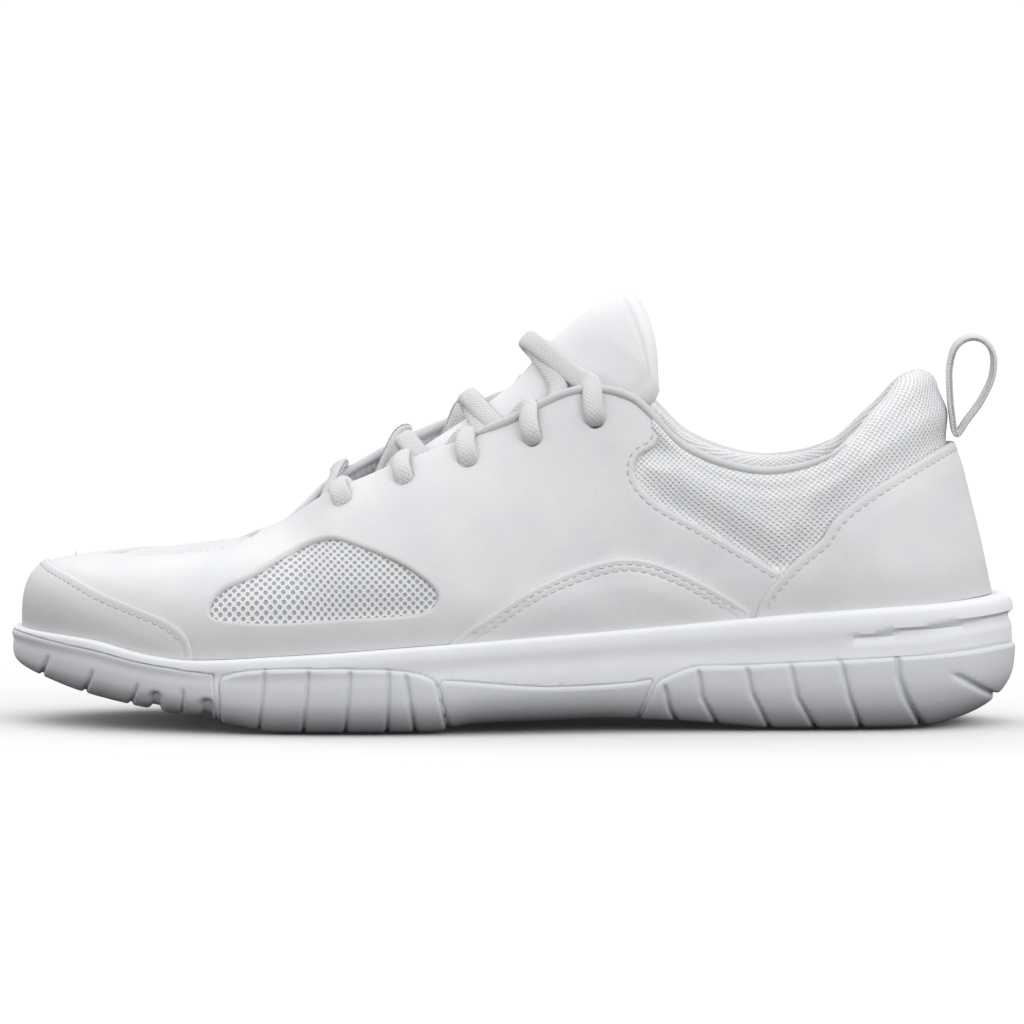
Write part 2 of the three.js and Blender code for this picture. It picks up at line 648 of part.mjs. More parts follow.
// ---------- Leather ----------
const toeBoxCut = prism(toeBoxPlan, -far, far, "plan");
for (const side of sides) {
  const quarter = leatherSheet.intersect(half[side]).subtract(through(windowOutline))
    .subtract(through(collarOutline)).subtract(toeBoxCut);
  pieces["quarter_" + side] = punched(quarter, side);
}
pieces.toe_cap = overlaySheet.intersect(through(toeCapOutline));
for (const side of sides) {
  pieces["arch_overlay_" + side] = overlaySheet.intersect(half[side]).intersect(through(archOutline));
}
pieces.heel_overlay = overlaySheet.intersect(through(heelOutline));

// ---------- Tongue ----------
// An arch that follows a crest line, from under the vamp to above the collar.
const crestPattern = [[-72, 42.5], [-63, 45], [-54, 50], [-40, 59.5], [-25, 70.5], [-10, 80.5],
  [2, 90], [9, 98], [20.9, 107.5], [31.5, 113.5]];
const crest = new THREE.CatmullRomCurve3(
  crestPattern.map((p) => onUpper(p)).map(([x, z], i, all) => V(x, gradeY * 2 * (1 - i / all.length), z)),
  false, "centripetal",
);
const tongueHalfWidth = heightCurve([[0, 11], [0.15, 12], [0.4, 13], [0.7, 12.2], [1, 16]]);
const tongueDrop = heightCurve([[0, 3.5], [0.15, 7], [0.4, 17], [0.7, 22], [1, 23]]);
const tongueReach = heightCurve([[0, 70], [0.8, 85], [0.9, 78], [0.96, 62], [1, 38]]);
const tongueSteps = { along: 11, across: 8 };

function tonguePoint(a, b) {
  const centre = crest.getPointAt(a);
  const tangent = crest.getTangentAt(a);
  const down = V(tangent.z, 0, -tangent.x).normalize();
  const angle = THREE.MathUtils.degToRad(tongueReach(a)) * b;
  centre.addScaledVector(down, tongueDrop(a) * (1 - Math.cos(angle)));
  centre.y += gradeY * tongueHalfWidth(a) * Math.sin(angle);
  return centre;
}

function tongueOut(a, b) {
  const e = 0.01;
  const along = tonguePoint(Math.min(a + e, 1), b).sub(tonguePoint(Math.max(a - e, 0), b));
  const across = tonguePoint(a, b + e).sub(tonguePoint(a, b - e));
  return along.cross(across).normalize();
}

// A closed sheet over a grid of points; at(a, b, layer) gives layer 0 outside and layer 1 inside.
function patch(at, along, across) {
  const quads = [];
  const P = (m, n, layer) => at(m / along, (2 * n) / across - 1, layer);
  for (let m = 0; m < along; m++) {
    for (let n = 0; n < across; n++) {
      quads.push([P(m, n, 0), P(m + 1, n, 0), P(m + 1, n + 1, 0), P(m, n + 1, 0)]);
      quads.push([P(m, n, 1), P(m, n + 1, 1), P(m + 1, n + 1, 1), P(m + 1, n, 1)]);
    }
    quads.push([P(m, 0, 0), P(m, 0, 1), P(m + 1, 0, 1), P(m + 1, 0, 0)]);
    quads.push([P(m, across, 0), P(m + 1, across, 0), P(m + 1, across, 1), P(m, across, 1)]);
  }
  for (let n = 0; n < across; n++) {
    quads.push([P(0, n, 0), P(0, n + 1, 0), P(0, n + 1, 1), P(0, n, 1)]);
    quads.push([P(along, n, 0), P(along, n, 1), P(along, n + 1, 1), P(along, n + 1, 0)]);
  }
  return facets(quads);
}

function tongueFoam(a) {
  const share = THREE.MathUtils.smoothstep(a, 0.2, 0.7);
  return THREE.MathUtils.lerp(tongueFoamBase, tongueFoamTop, share);
}

function tongueSheet(from, to) {
  const at = (a, b, layer) => {
    const d = layer === 0 ? from(a) : to(a);
    return tonguePoint(a, b).addScaledVector(tongueOut(a, b), -d);
  };
  return patch(at, tongueSteps.along, tongueSteps.across);
}
const foamTop = tongueCoverThick + gap;
pieces.tongue_cover = tongueSheet(() => 0, () => tongueCoverThick);
pieces.tongue_foam = tongueSheet(() => foamTop, (a) => foamTop + tongueFoam(a));
pieces.tongue_lining = tongueSheet(
  (a) => foamTop + tongueFoam(a) + gap,
  (a) => foamTop + tongueFoam(a) + gap + tongueLiningThick,
);

// ---------- Cords: piping, edge binding and lace ----------
// A round tube through hand-placed points; every point is a ring of the tube.
function tube(points, radius, sectionSides = 8) {
  const route = new THREE.CatmullRomCurve3(points, false, "centripetal");
  route.getUtoTmapping = (u) => u;
  const ring = new THREE.Shape();
  for (let n = 0; n < sectionSides; n++) {
    const angle = (2 * Math.PI * n) / sectionSides;
    const corner = [radius * Math.cos(angle), radius * Math.sin(angle)];
    if (n === 0) ring.moveTo(...corner);
    else ring.lineTo(...corner);
  }
  ring.closePath();
  const steps = points.length - 1;
  const sweep = { steps, bevelEnabled: false, extrudePath: route, curveSegments: 1 };
  return toSolid(new THREE.ExtrudeGeometry(ring, sweep));
}

const pipingFrom = 9 * ribsPerStation + 1;
const pipingLine = [];
for (let i = pipingFrom; i <= loop - pipingFrom; i++) {
  const middle = (depth.leather + depth.inside + padding(i, rows)) / 2;
  const up = skin[ringAt(i)][rows].clone().sub(skin[ringAt(i)][rows - 1]).normalize();
  pipingLine.push(skinPoint(i, rows, middle).addScaledVector(up, pipingRadius + 2 * gap));
}
pieces.collar_piping = tube(pipingLine, pipingRadius, 6);

const bindingRadius = 2.2;
const bindingLine = [];
const bindingSteps = 14;
for (let n = 0; n <= bindingSteps; n++) {
  const b = (2 * n) / bindingSteps - 1;
  const middle = (foamTop + tongueFoamTop + gap + tongueLiningThick) / 2;
  const p = tonguePoint(1, b).addScaledVector(tongueOut(1, b), -middle);
  bindingLine.push(p.addScaledVector(crest.getTangentAt(1), bindingRadius + gap));
}
pieces.tongue_binding = tube(bindingLine, bindingRadius);

const laceClear = laceRadius + 3 * gap;
const rimRise = 4.2; // a strand that goes over the rim stands this much off the leather
const rimClear = 3; // from the edge of the eyestay to the middle of a strand that turns round it
const flankRise = 1.6; // slack between the tongue's flank and a strand
const flankShare = 0.5; // how far round the tongue a strand first touches it
const outerLane = laceClear - depth.leather;
const innerLane = -(depth.inside + laceClear);
const lane = ({ point, out }, offset) => point.clone().addScaledVector(out, offset);
const rims = {};
for (const side of sides) {
  rims[side] = eyelets[side].map((_, n) => belowRim(rimPlace(side, eyeletX(n)), 0));
}
const otherSide = { lateral: "medial", medial: "lateral" };

// From the free side of a rim, over it, down through the hole and back under the rim.
function threadIn(side, n) {
  const hole = eyelets[side][n];
  const rim = rims[side][n];
  const inward = V(0, side === "lateral" ? 1 : -1, 0);
  return [
    lane(rim, outerLane + rimRise).addScaledVector(inward, rimClear + 7 * gap),
    lane(hole, outerLane),
    lane(hole, (outerLane + innerLane) / 2),
    lane(hole, innerLane),
    lane(rim, innerLane - gap).addScaledVector(inward, rimClear),
  ];
}

// A point over the tongue's surface at the given x, b of the way round its flank.
function overTongue(x, b, lift) {
  const searchStep = 0.005;
  let a = 0;
  while (tonguePoint(a, b).x < x) a += searchStep;
  return tonguePoint(a, b).addScaledVector(tongueOut(a, b), lift);
}

// The strand between a rim in row n and the other rim in row n + 1: it climbs one flank of the
// tongue, crosses its crest at the given level and goes down the other flank.
function crossing(n, upperSide, level) {
  const flank = upperSide === "lateral" ? -flankShare : flankShare;
  const lift = laceClear + level * 2 * (laceRadius + gap);
  return [
    overTongue(eyeletX(n + 0.8), flank, laceClear + flankRise),
    overTongue(eyeletX(n + 0.5), 0, lift),
    overTongue(eyeletX(n + 0.2), -flank, laceClear + flankRise),
  ];
}

// One half of the lace, from its top hole down to its bottom hole.
function strand(top, levelOf) {
  const points = [];
  let side = top;
  for (let n = eyeletCount - 1; n >= 0; n--) {
    points.push(...threadIn(side, n).reverse());
    if (n > 0) points.push(...crossing(n - 1, side, levelOf(n - 1)));
    side = otherSide[side];
  }
  return points;
}

const tailRuns = [16, 24, 32];
function tail(side) {
  const place = rimPlace(side, eyeletX(eyeletCount - 1));
  return tailRuns.map((run) => lane(belowRim(place, run), innerLane - gap)).reverse();
}

// At the top holes the lace goes straight on down inside, so its last under-rim point is dropped.
const firstHalf = strand("lateral", (n) => n % 2).slice(1);
const secondHalf = strand("medial", (n) => (n + 1) % 2).slice(1);
const bar = [overTongue(gradeX * (firstEyeletX - 4), 0, 2 * laceClear)];
const lacePoints = [
  ...tail("lateral"), ...firstHalf, ...bar, ...secondHalf.reverse(), ...tail("medial").reverse(),
];
pieces.shoelace = tube(lacePoints, laceRadius);
const tipLength = 12;
for (const side of sides) {
  const ends = tail(side);
  const along = ends[0].clone().sub(ends[1]).normalize();
  const tip = new THREE.CylinderGeometry(laceRadius, laceRadius * 0.8, tipLength, 8);
  tip.applyQuaternion(new THREE.Quaternion().setFromUnitVectors(V(0, -1, 0), along));
  const centre = ends[0].clone().addScaledVector(along, tipLength / 2 + gap);
  tip.translate(centre.x, centre.y, centre.z);
  pieces["lace_tip_" + side] = toSolid(tip);
}

// ---------- Pull loop ----------
const loopLine = smooth([[117.4, 76.1], [116.2, 81.4], [116, 88], [115.9, 93], [117.4, 97.8],
  [120.8, 99.6], [124.2, 99], [126.6, 96], [126.4, 91], [123.8, 85], [120.4, 80]]
  .map(onUpper), true, 22);
const loopOuter = grow(loopLine, loopThick / 2);
const loopInner = grow(loopLine, -loopThick / 2);
const ringPrism = (outline) => prism(outline, -loopWidth / 2, loopWidth / 2);
pieces.pull_loop = ringPrism(loopOuter).subtract(through(loopInner));

// ---------- The shoe ----------
const looks = {
  leather: { color: 0xe6e6e8, roughness: 0.5 },
  mesh: { color: 0xdddee2, roughness: 0.9 },
  lining: { color: 0xdadbe0, roughness: 0.95 },
  foam: { color: 0xf0eee8, roughness: 1 },
  stiffener: { color: 0xd8d4c8, roughness: 0.8 },
  sole: { color: 0xd2d5dc, roughness: 0.6 },
  rubber: { color: 0xc8cbd3, roughness: 0.55 },
  webbing: { color: 0xe4e4e6, roughness: 0.8 },
  lace: { color: 0xebebed, roughness: 0.85 },
  plastic: { color: 0xf2f2f2, roughness: 0.35 },
};
const lookOf = (name) => {
  if (/^outsole/.test(name)) return "rubber";
  if (/^midsole/.test(name)) return "sole";
  if (/foam$|^sockliner$/.test(name)) return "foam";
  if (/counter|puff|backer|board/.test(name)) return "stiffener";
  if (/mesh/.test(name)) return "mesh";
  if (/lining/.test(name)) return "lining";
  if (/^pull_loop|binding/.test(name)) return "webbing";
  if (/^lace_tip/.test(name)) return "plastic";
  if (/^shoelace/.test(name)) return "lace";
  return "leather";
};

function toMesh(name, solid) {
  const { vertProperties, triVerts, numProp } = solid.getMesh();
  const made = new THREE.BufferGeometry();
  const data = new THREE.InterleavedBuffer(vertProperties, numProp);
  made.setAttribute("position", new THREE.InterleavedBufferAttribute(data, 3, 0));
  made.setIndex(new THREE.BufferAttribute(triVerts, 1));
  const material = new THREE.MeshStandardMaterial({ metalness: 0, ...looks[lookOf(name)] });
  const mesh = new THREE.Mesh(made.toNonIndexed(), material);
  mesh.name = name;
  return mesh;
}

const group = new THREE.Group();
for (const [name, solid] of Object.entries(pieces)) group.add(toMesh(name, solid));
const box = new THREE.Box3().setFromObject(group);
const centre = box.getCenter(V(0, 0, 0));
group.position.set(-centre.x, -centre.y, -box.min.z);
export default group;
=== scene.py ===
"""A white low-top cheer shoe, left foot: toe to -X, lateral side to -Y.
Shapes are worked out in millimetres in the CAD's own frame, then moved into the row frame."""
import json
import math

import bmesh
import bpy
import numpy as np
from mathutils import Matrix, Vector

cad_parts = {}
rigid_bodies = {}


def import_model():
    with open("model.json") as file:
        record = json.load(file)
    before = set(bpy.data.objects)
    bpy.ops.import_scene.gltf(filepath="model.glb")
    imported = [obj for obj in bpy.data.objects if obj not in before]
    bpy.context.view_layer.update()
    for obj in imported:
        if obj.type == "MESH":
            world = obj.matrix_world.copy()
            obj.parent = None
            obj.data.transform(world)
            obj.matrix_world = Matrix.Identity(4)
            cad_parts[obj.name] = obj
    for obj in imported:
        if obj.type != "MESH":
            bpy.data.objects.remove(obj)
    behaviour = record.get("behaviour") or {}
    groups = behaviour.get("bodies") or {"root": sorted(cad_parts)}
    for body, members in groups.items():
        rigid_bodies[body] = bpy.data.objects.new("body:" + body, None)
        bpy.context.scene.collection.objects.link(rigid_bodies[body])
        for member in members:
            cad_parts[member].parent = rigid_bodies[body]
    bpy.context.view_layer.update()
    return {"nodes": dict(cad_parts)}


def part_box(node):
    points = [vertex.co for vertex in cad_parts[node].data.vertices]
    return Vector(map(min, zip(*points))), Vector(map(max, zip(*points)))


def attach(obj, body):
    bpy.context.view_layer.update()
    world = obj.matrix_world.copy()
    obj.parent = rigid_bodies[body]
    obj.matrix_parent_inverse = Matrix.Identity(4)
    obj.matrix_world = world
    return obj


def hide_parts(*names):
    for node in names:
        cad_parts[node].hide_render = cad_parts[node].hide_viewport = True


for startup in list(bpy.data.objects):
    bpy.data.objects.remove(startup)
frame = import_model()

MM = 0.001
HEEL_SKIN_X = 127.3  # furthest point of the skin at the heel, in the CAD's own frame
heel_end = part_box("heel_overlay")[1][0] / MM
loop_low, loop_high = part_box("pull_loop")
SHIFT = np.array([heel_end - HEEL_SKIN_X, (loop_low[1] + loop_high[1]) / 2 / MM, 0.0])


def metres(points):
    """Points of the CAD's own frame, in mm, as points of the row frame, in metres."""
    return (np.asarray(points, float) + SHIFT) * MM


# ---------- Camera and lamps ----------
VIEW_WIDTH = 271.4  # mm of the object's plane across the picture
CAMERA_DISTANCE = 3500
CAMERA_RISE = math.radians(4)
AIM = np.array([-0.3, 0, 55.2])


def add_camera():
    data = bpy.data.cameras.new("camera")
    data.lens = data.sensor_width * CAMERA_DISTANCE / VIEW_WIDTH
    data.clip_end = 100
    camera = bpy.data.objects.new("camera", data)
    back = np.array([0, -math.cos(CAMERA_RISE), math.sin(CAMERA_RISE)])
    camera.location = metres(AIM + CAMERA_DISTANCE * back)
    camera.rotation_euler = (math.pi / 2 - CAMERA_RISE, 0, 0)
    bpy.context.collection.objects.link(camera)
    bpy.context.scene.camera = camera


def add_area(name, place, target, size, power):
    """A round soft lamp that looks at a target. Places and size are in metres."""
    data = bpy.data.lights.new(name, "AREA")
    data.shape = "DISK"
    data.size = size
    data.energy = power
    lamp = bpy.data.objects.new(name, data)
    lamp.location = place
    away = np.array(place, float) - np.array(target, float)
    flat = math.hypot(away[0], away[1])
    lamp.rotation_euler = (math.atan2(flat, away[2]), 0, math.atan2(away[1], away[0]) + math.pi / 2)
    bpy.context.collection.objects.link(lamp)


add_camera()
bpy.context.scene.view_settings.view_transform = "Standard"
bpy.context.scene.view_settings.look = "None"


# ---------- Node materials ----------
class Tree:
    """A material's nodes. Inputs are numbers, colours or other nodes' outputs."""

    def __init__(self, name, rough, spec=0.4, **sockets):
        self.mat = bpy.data.materials.new(name)
        self.mat.use_nodes = True
        self.nodes = self.mat.node_tree.nodes
        self.links = self.mat.node_tree.links
        self.bsdf = self.nodes["Principled BSDF"]
        self.bsdf.inputs["Roughness"].default_value = rough
        self.bsdf.inputs["Specular IOR Level"].default_value = spec
        for key, value in sockets.items():
            self.bsdf.inputs[key.replace("_", " ")].default_value = value

    def put(self, socket, value):
        if isinstance(value, bpy.types.NodeSocket):
            self.links.new(value, socket)
        else:
            socket.default_value = value

    def add(self, kind, out=0, attrs=None, **inputs):
        node = self.nodes.new("ShaderNode" + kind)
        for key, value in (attrs or {}).items():
            setattr(node, key, value)
        for key, value in inputs.items():
            key = key.replace("_", " ")
            socket = node.inputs[int(key[1:])] if key[0] == "i" and key[1:].isdigit() else node.inputs[key]
            self.put(socket, value)
        return node.outputs[out]

    def math(self, operation, a, b=0.0):
        return self.add("Math", attrs={"operation": operation}, i0=a, i1=b)

    def times(self, a, b):
        return self.math("MULTIPLY", a, b)

    def wave(self, value, pitch):
        """Sine of a length in mm, with that pitch in mm."""
        return self.math("SINE", self.times(value, 2 * math.pi / pitch))

    def where(self):
        """Object coordinates, in metres."""
        return self.add("TexCoord", out=3)

    def place(self):
        """Object coordinates in mm."""
        return self.add("Mapping", attrs={"vector_type": "POINT"}, Vector=self.where(), Scale=(1 / MM,) * 3)

    def noise(self, size, detail=3.0, rough=0.55):
        """Noise whose features are about size mm."""
        return self.add("TexNoise", Vector=self.place(), Scale=1 / size, Detail=detail, Roughness=rough)

    def mix(self, share, a, b):
        return self.add("MixRGB", attrs={"blend_type": "MIX"}, Fac=share, Color1=a, Color2=b)

    def ramp(self, value, low, high):
        """Value's range from low to high as 0 to 1."""
        return self.add("MapRange", Value=value, i1=low, i2=high)

    def edge(self):
        """Nearness to the piece's edge or seam, from 0 to 1."""
        return self.add("Attribute", out=2, attrs={"attribute_name": "edge"})

    def lay(self, axis):
        """Distance in mm the way the cloth or cord lies: 0 is along it and 1 across it."""
        vector = self.add("Attribute", out=1, attrs={"attribute_name": "lay"})
        return self.add("SeparateXYZ", out=axis, i0=vector)

    def bump(self, *heights):
        """Each height is (value, depth in mm)."""
        normal = None
        for value, depth in heights:
            inputs = {"Height": value, "Distance": depth * MM, "Strength": 1.0}
            if normal is not None:
                inputs["Normal"] = normal
            normal = self.add("Bump", **inputs)
        self.links.new(normal, self.bsdf.inputs["Normal"])

    def colour(self, value):
        self.put(self.bsdf.inputs["Base Color"], value)

    def rough(self, value, low, high):
        self.links.new(self.add("MapRange", Value=value, i3=low, i4=high), self.bsdf.inputs["Roughness"])


def grey(value, tint=(0, 0, 0)):
    return (value + tint[0], value + tint[1], value + tint[2], 1)


WARM = (0.006, 0.0, -0.008)
COOL = (-0.022, -0.008, 0.02)
SHADE_AND_SCUFF_HEIGHT = 9  # mm above the floor over which the sole is darkened by painted shade and shows its scuff marks
SHADED_HEIGHT = 13  # mm above the sole's edge over which painted shade greys the leather


def leather_material(name, tone, rough=0.46):
    """Smooth coated leather: fine pebbled grain, faint mottling, darker edges, and painted shade that greys
    it near the sole.
    """
    t = Tree(name, rough, spec=0.38, Coat_Weight=0.06, Coat_Roughness=0.4)
    cells = t.add("TexVoronoi", attrs={"feature": "SMOOTH_F1"}, Vector=t.place(), Scale=1 / 0.75,
                  Smoothness=0.6)
    pores = t.noise(0.16, detail=2)
    mottle = t.noise(17, detail=4)
    mottled = t.mix(t.ramp(mottle, 0.35, 0.65), grey(tone), grey(tone - 0.025, COOL))
    edged = t.mix(t.times(t.edge(), 0.35), mottled, grey(tone - 0.11, WARM))
    # painted shade: the leather is greyed towards the sole over SHADED_HEIGHT mm, standing in for the shade
    # that falls there
    low = t.times(t.ramp(t.lay(1), SHADED_HEIGHT, 0), 0.6)
    shaded = t.mix(low, edged, grey(tone - 0.28))
    t.colour(t.mix(t.times(t.ramp(pores, 0.62, 0.8), 0.22), shaded, grey(tone - 0.16, WARM)))
    t.rough(mottle, rough - 0.05, rough + 0.07)
    t.bump((t.noise(7, detail=2), 0.10), (cells, 0.035), (pores, 0.012))
    return t.mat


def lattice_material(name, tone, hole, pitch, open_share, depth, blur=0.25):
    """Knitted mesh: holes on a diagonal lattice between soft yarn ridges; the holes carry painted shade in
    the dark tone hole.
    """
    t = Tree(name, 0.85, spec=0.2, Sheen_Weight=0.25, Sheen_Roughness=0.5)
    crossed = (t.wave(t.math(way, t.lay(0), t.lay(1)), 2 * pitch) for way in ("ADD", "SUBTRACT"))
    both = t.times(*crossed)
    depth_map = t.add("MapRange", attrs={"interpolation_type": "SMOOTHSTEP"},
                      Value=t.math("ABSOLUTE", both), i1=open_share, i2=open_share + blur)
    yarn = t.noise(0.22, detail=2)
    mottle = t.noise(9, detail=3)
    solid = t.mix(t.ramp(mottle, 0.3, 0.7), grey(tone), grey(tone - 0.04, COOL))
    woven = t.mix(t.times(t.ramp(yarn, 0.5, 0.8), 0.25), solid, grey(tone - 0.13))
    # painted shade: the low holes of the lattice take the dark tone hole
    t.colour(t.mix(depth_map, woven, grey(hole, COOL)))
    t.rough(yarn, 0.78, 0.92)
    t.bump((t.math("SUBTRACT", 1.0, depth_map), depth), (yarn, 0.05))
    return t.mat


def knit_material(name, tone, pitch=1.7):
    """Ribbed lining knit: soft ribs that run up and down, with a fine loop pattern, and painted shade in the
    valleys between the ribs.
    """
    t = Tree(name, 0.9, spec=0.15, Sheen_Weight=0.3, Sheen_Roughness=0.6)
    ribs = t.math("ABSOLUTE", t.wave(t.lay(0), 2 * pitch))
    loops = t.wave(t.lay(1), 0.9)
    fuzz = t.noise(0.3, detail=3)
    # painted shade: the valleys between the ribs are darker and cooler
    ribbed = t.mix(ribs, grey(tone - 0.09, COOL), grey(tone))
    t.colour(t.mix(t.times(fuzz, 0.3), ribbed, grey(tone - 0.1)))
    t.rough(fuzz, 0.84, 0.96)
    t.bump((ribs, 0.2), (loops, 0.06), (fuzz, 0.08))
    return t.mat


def braid_material(name, tone, across, pitch, sheen=0.35):
    """A flat braid or webbing: two sets of yarns that cross, laid along the cord, with painted shade where
    the yarns dip.
    """
    t = Tree(name, 0.82, spec=0.2, Sheen_Weight=sheen, Sheen_Roughness=0.45)
    side = t.times(t.lay(1), across)
    crossed = (t.wave(t.math(way, t.lay(0), side), pitch) for way in ("ADD", "SUBTRACT"))
    weave = t.math("MAXIMUM", *crossed)
    fuzz = t.noise(0.18, detail=3)
    # painted shade: the low parts of the weave are darker and cooler
    braided = t.mix(t.ramp(weave, -0.4, 0.9), grey(tone - 0.07, COOL), grey(tone))
    t.colour(t.mix(t.times(t.ramp(fuzz, 0.45, 0.8), 0.3), braided, grey(tone - 0.07, WARM)))
    t.rough(fuzz, 0.75, 0.9)
    t.bump((weave, 0.06), (fuzz, 0.04))
    return t.mat


def sole_material(name, tone, rough, stipple, size):
    """Moulded foam or rubber: fine stipple, faint clouding, scuff marks towards the tread, and painted shade
    that darkens it towards the tread.
    """
    t = Tree(name, rough, spec=0.35)
    grain = t.noise(size, detail=3)
    cloud = t.noise(22, detail=4)
    scuff = t.noise(1.1, detail=5, rough=0.7)
    height = t.add("SeparateXYZ", out=2, i0=t.where())
    low = t.add("MapRange", attrs={"interpolation_type": "SMOOTHSTEP"}, Value=height,
                i1=SHADE_AND_SCUFF_HEIGHT * MM, i2=0.0, i3=0.0, i4=1.0)
    base = t.mix(t.ramp(cloud, 0.35, 0.65), grey(tone, COOL), grey(tone - 0.03, COOL))
    # painted shade: the sole is darkened strongly over its lowest few mm above the floor
    painted_shade = t.mix(t.times(low, 0.6), base, grey(tone - 0.42, COOL))
    marks = t.times(t.times(t.ramp(scuff, 0.6, 0.72), low), 0.25)
    t.colour(t.mix(marks, painted_shade, grey(tone - 0.34)))
    t.rough(grain, rough - 0.08, rough + 0.1)
    t.bump((grain, stipple), (t.noise(2.6, detail=2), 0.03))
    return t.mat


def plain_material(name, tone, rough, size, depth):
    """Moulded plastic or board with its own small grain."""
    t = Tree(name, rough)
    grain = t.noise(size, detail=4)
    t.colour(t.mix(t.ramp(grain, 0.35, 0.65), grey(tone, WARM), grey(tone - 0.07, WARM)))
    t.rough(grain, rough - 0.05, rough + 0.08)
    t.bump((grain, depth))
    return t.mat


LEATHER = leather_material("leather", 0.75)
OVERLAY = leather_material("overlay_leather", 0.76, rough=0.42)
WINDOW_MESH = lattice_material("window_mesh", 0.8, 0.42, 2.3, 0.5, 0.45)
TOE_MESH = lattice_material("toe_mesh", 0.8, 0.66, 1.9, 0.55, 0.15)
TONGUE_LEATHER = leather_material("tongue_leather", 0.85, rough=0.6)
COLLAR_MESH = lattice_material("collar_mesh", 0.95, 0.8, 1.8, 0.35, 0.3, blur=0.5)
LINING = knit_material("lining_knit", 0.88)
FOOTBED = knit_material("footbed_cloth", 0.74, pitch=1.1)
LACE = braid_material("lace_braid", 0.76, 1.1, 1.1)
WEBBING = braid_material("webbing", 0.8, 0.8, 0.9, sheen=0.2)
THREAD = braid_material("thread", 0.76, 1.0, 0.6, sheen=0.1)
MIDSOLE = sole_material("midsole_foam", 0.88, 0.62, 0.05, 0.5)
RUBBER = sole_material("outsole_rubber", 0.76, 0.55, 0.09, 0.45)
TIP = plain_material("lace_tip_plastic", 0.8, 0.3, 1.5, 0.01)
BOARD = plain_material("strobel_cloth", 0.7, 0.9, 0.5, 0.1)


# ---------- Curves ----------
def height_curve(points):
    """A smooth curve through points (x, z), level past its ends."""
    xs, zs = np.array(points, float).T
    slope = np.gradient(zs, xs)
    slope[1:-1] = (zs[2:] - zs[:-2]) / (xs[2:] - xs[:-2])

    def at(x):
        x = np.clip(np.asarray(x, float), xs[0], xs[-1])
        i = np.clip(np.searchsorted(xs, x, side="right") - 1, 0, len(xs) - 2)
        span = xs[i + 1] - xs[i]
        t = (x - xs[i]) / span
        rise = zs[i + 1] - zs[i]
        bend = (slope[i] * span - rise) * (1 - t) + (rise - slope[i + 1] * span) * t
        return zs[i] + rise * t + t * (1 - t) * bend

    return at


def catmull(points, t, closed=False):
    """Centripetal Catmull-Rom curve through points. t counts in points."""
    points = np.asarray(points, float)
    n = len(points)
    t = np.asarray(t, float)
    if closed:
        k = np.floor(t).astype(int)
        p0, p1, p2, p3 = (points[(k + d) % n] for d in (-1, 0, 1, 2))
    else:
        k = np.clip(np.floor(t).astype(int), 0, n - 2)
        ends = np.vstack([2 * points[0] - points[1], points, 2 * points[-1] - points[-2]])
        p0, p1, p2, p3 = (ends[k + d] for d in range(4))
    w = (t - k)[..., None]
    d0, d1, d2 = (np.sqrt(np.linalg.norm(b - a, axis=-1))[..., None]
                  for a, b in ((p0, p1), (p1, p2), (p2, p3)))
    t1 = ((p1 - p0) / d0 - (p2 - p0) / (d0 + d1) + (p2 - p1) / d1) * d1
    t2 = ((p2 - p1) / d1 - (p3 - p1) / (d1 + d2) + (p3 - p2) / d2) * d1
    return p1 + w * (t1 + w * (3 * (p2 - p1) - 2 * t1 - t2 + w * (2 * (p1 - p2) + t1 + t2)))


def smooth(points, closed=False, steps=10):
    """The curve through points, with that many steps from each to the next."""
    count = len(points) * steps if closed else (len(points) - 1) * steps + 1
    return catmull(points, np.arange(count) / steps, closed)


def run_of(points):
    """Distance along a line at each of its points."""
    return np.concatenate([[0], np.cumsum(np.linalg.norm(np.diff(points, axis=0), axis=1))])


def read_off(at, xs, points):
    """Points known at xs, at places between them."""
    return np.stack([np.interp(at, xs, column) for column in points.T], axis=-1)


def even(points, step):
    """The line resampled at about that step, and the distance along it."""
    points = np.asarray(points, float)
    run = run_of(points)
    at = np.linspace(0, run[-1], max(int(round(run[-1] / step)), 2) + 1)
    return read_off(at, run, points), at


def smoothstep(x, low, high):
    t = np.clip((x - low) / (high - low), 0, 1)
    return t * t * (3 - 2 * t)


def unit(v):
    return v / np.maximum(np.linalg.norm(v, axis=-1, keepdims=True), 1e-9)


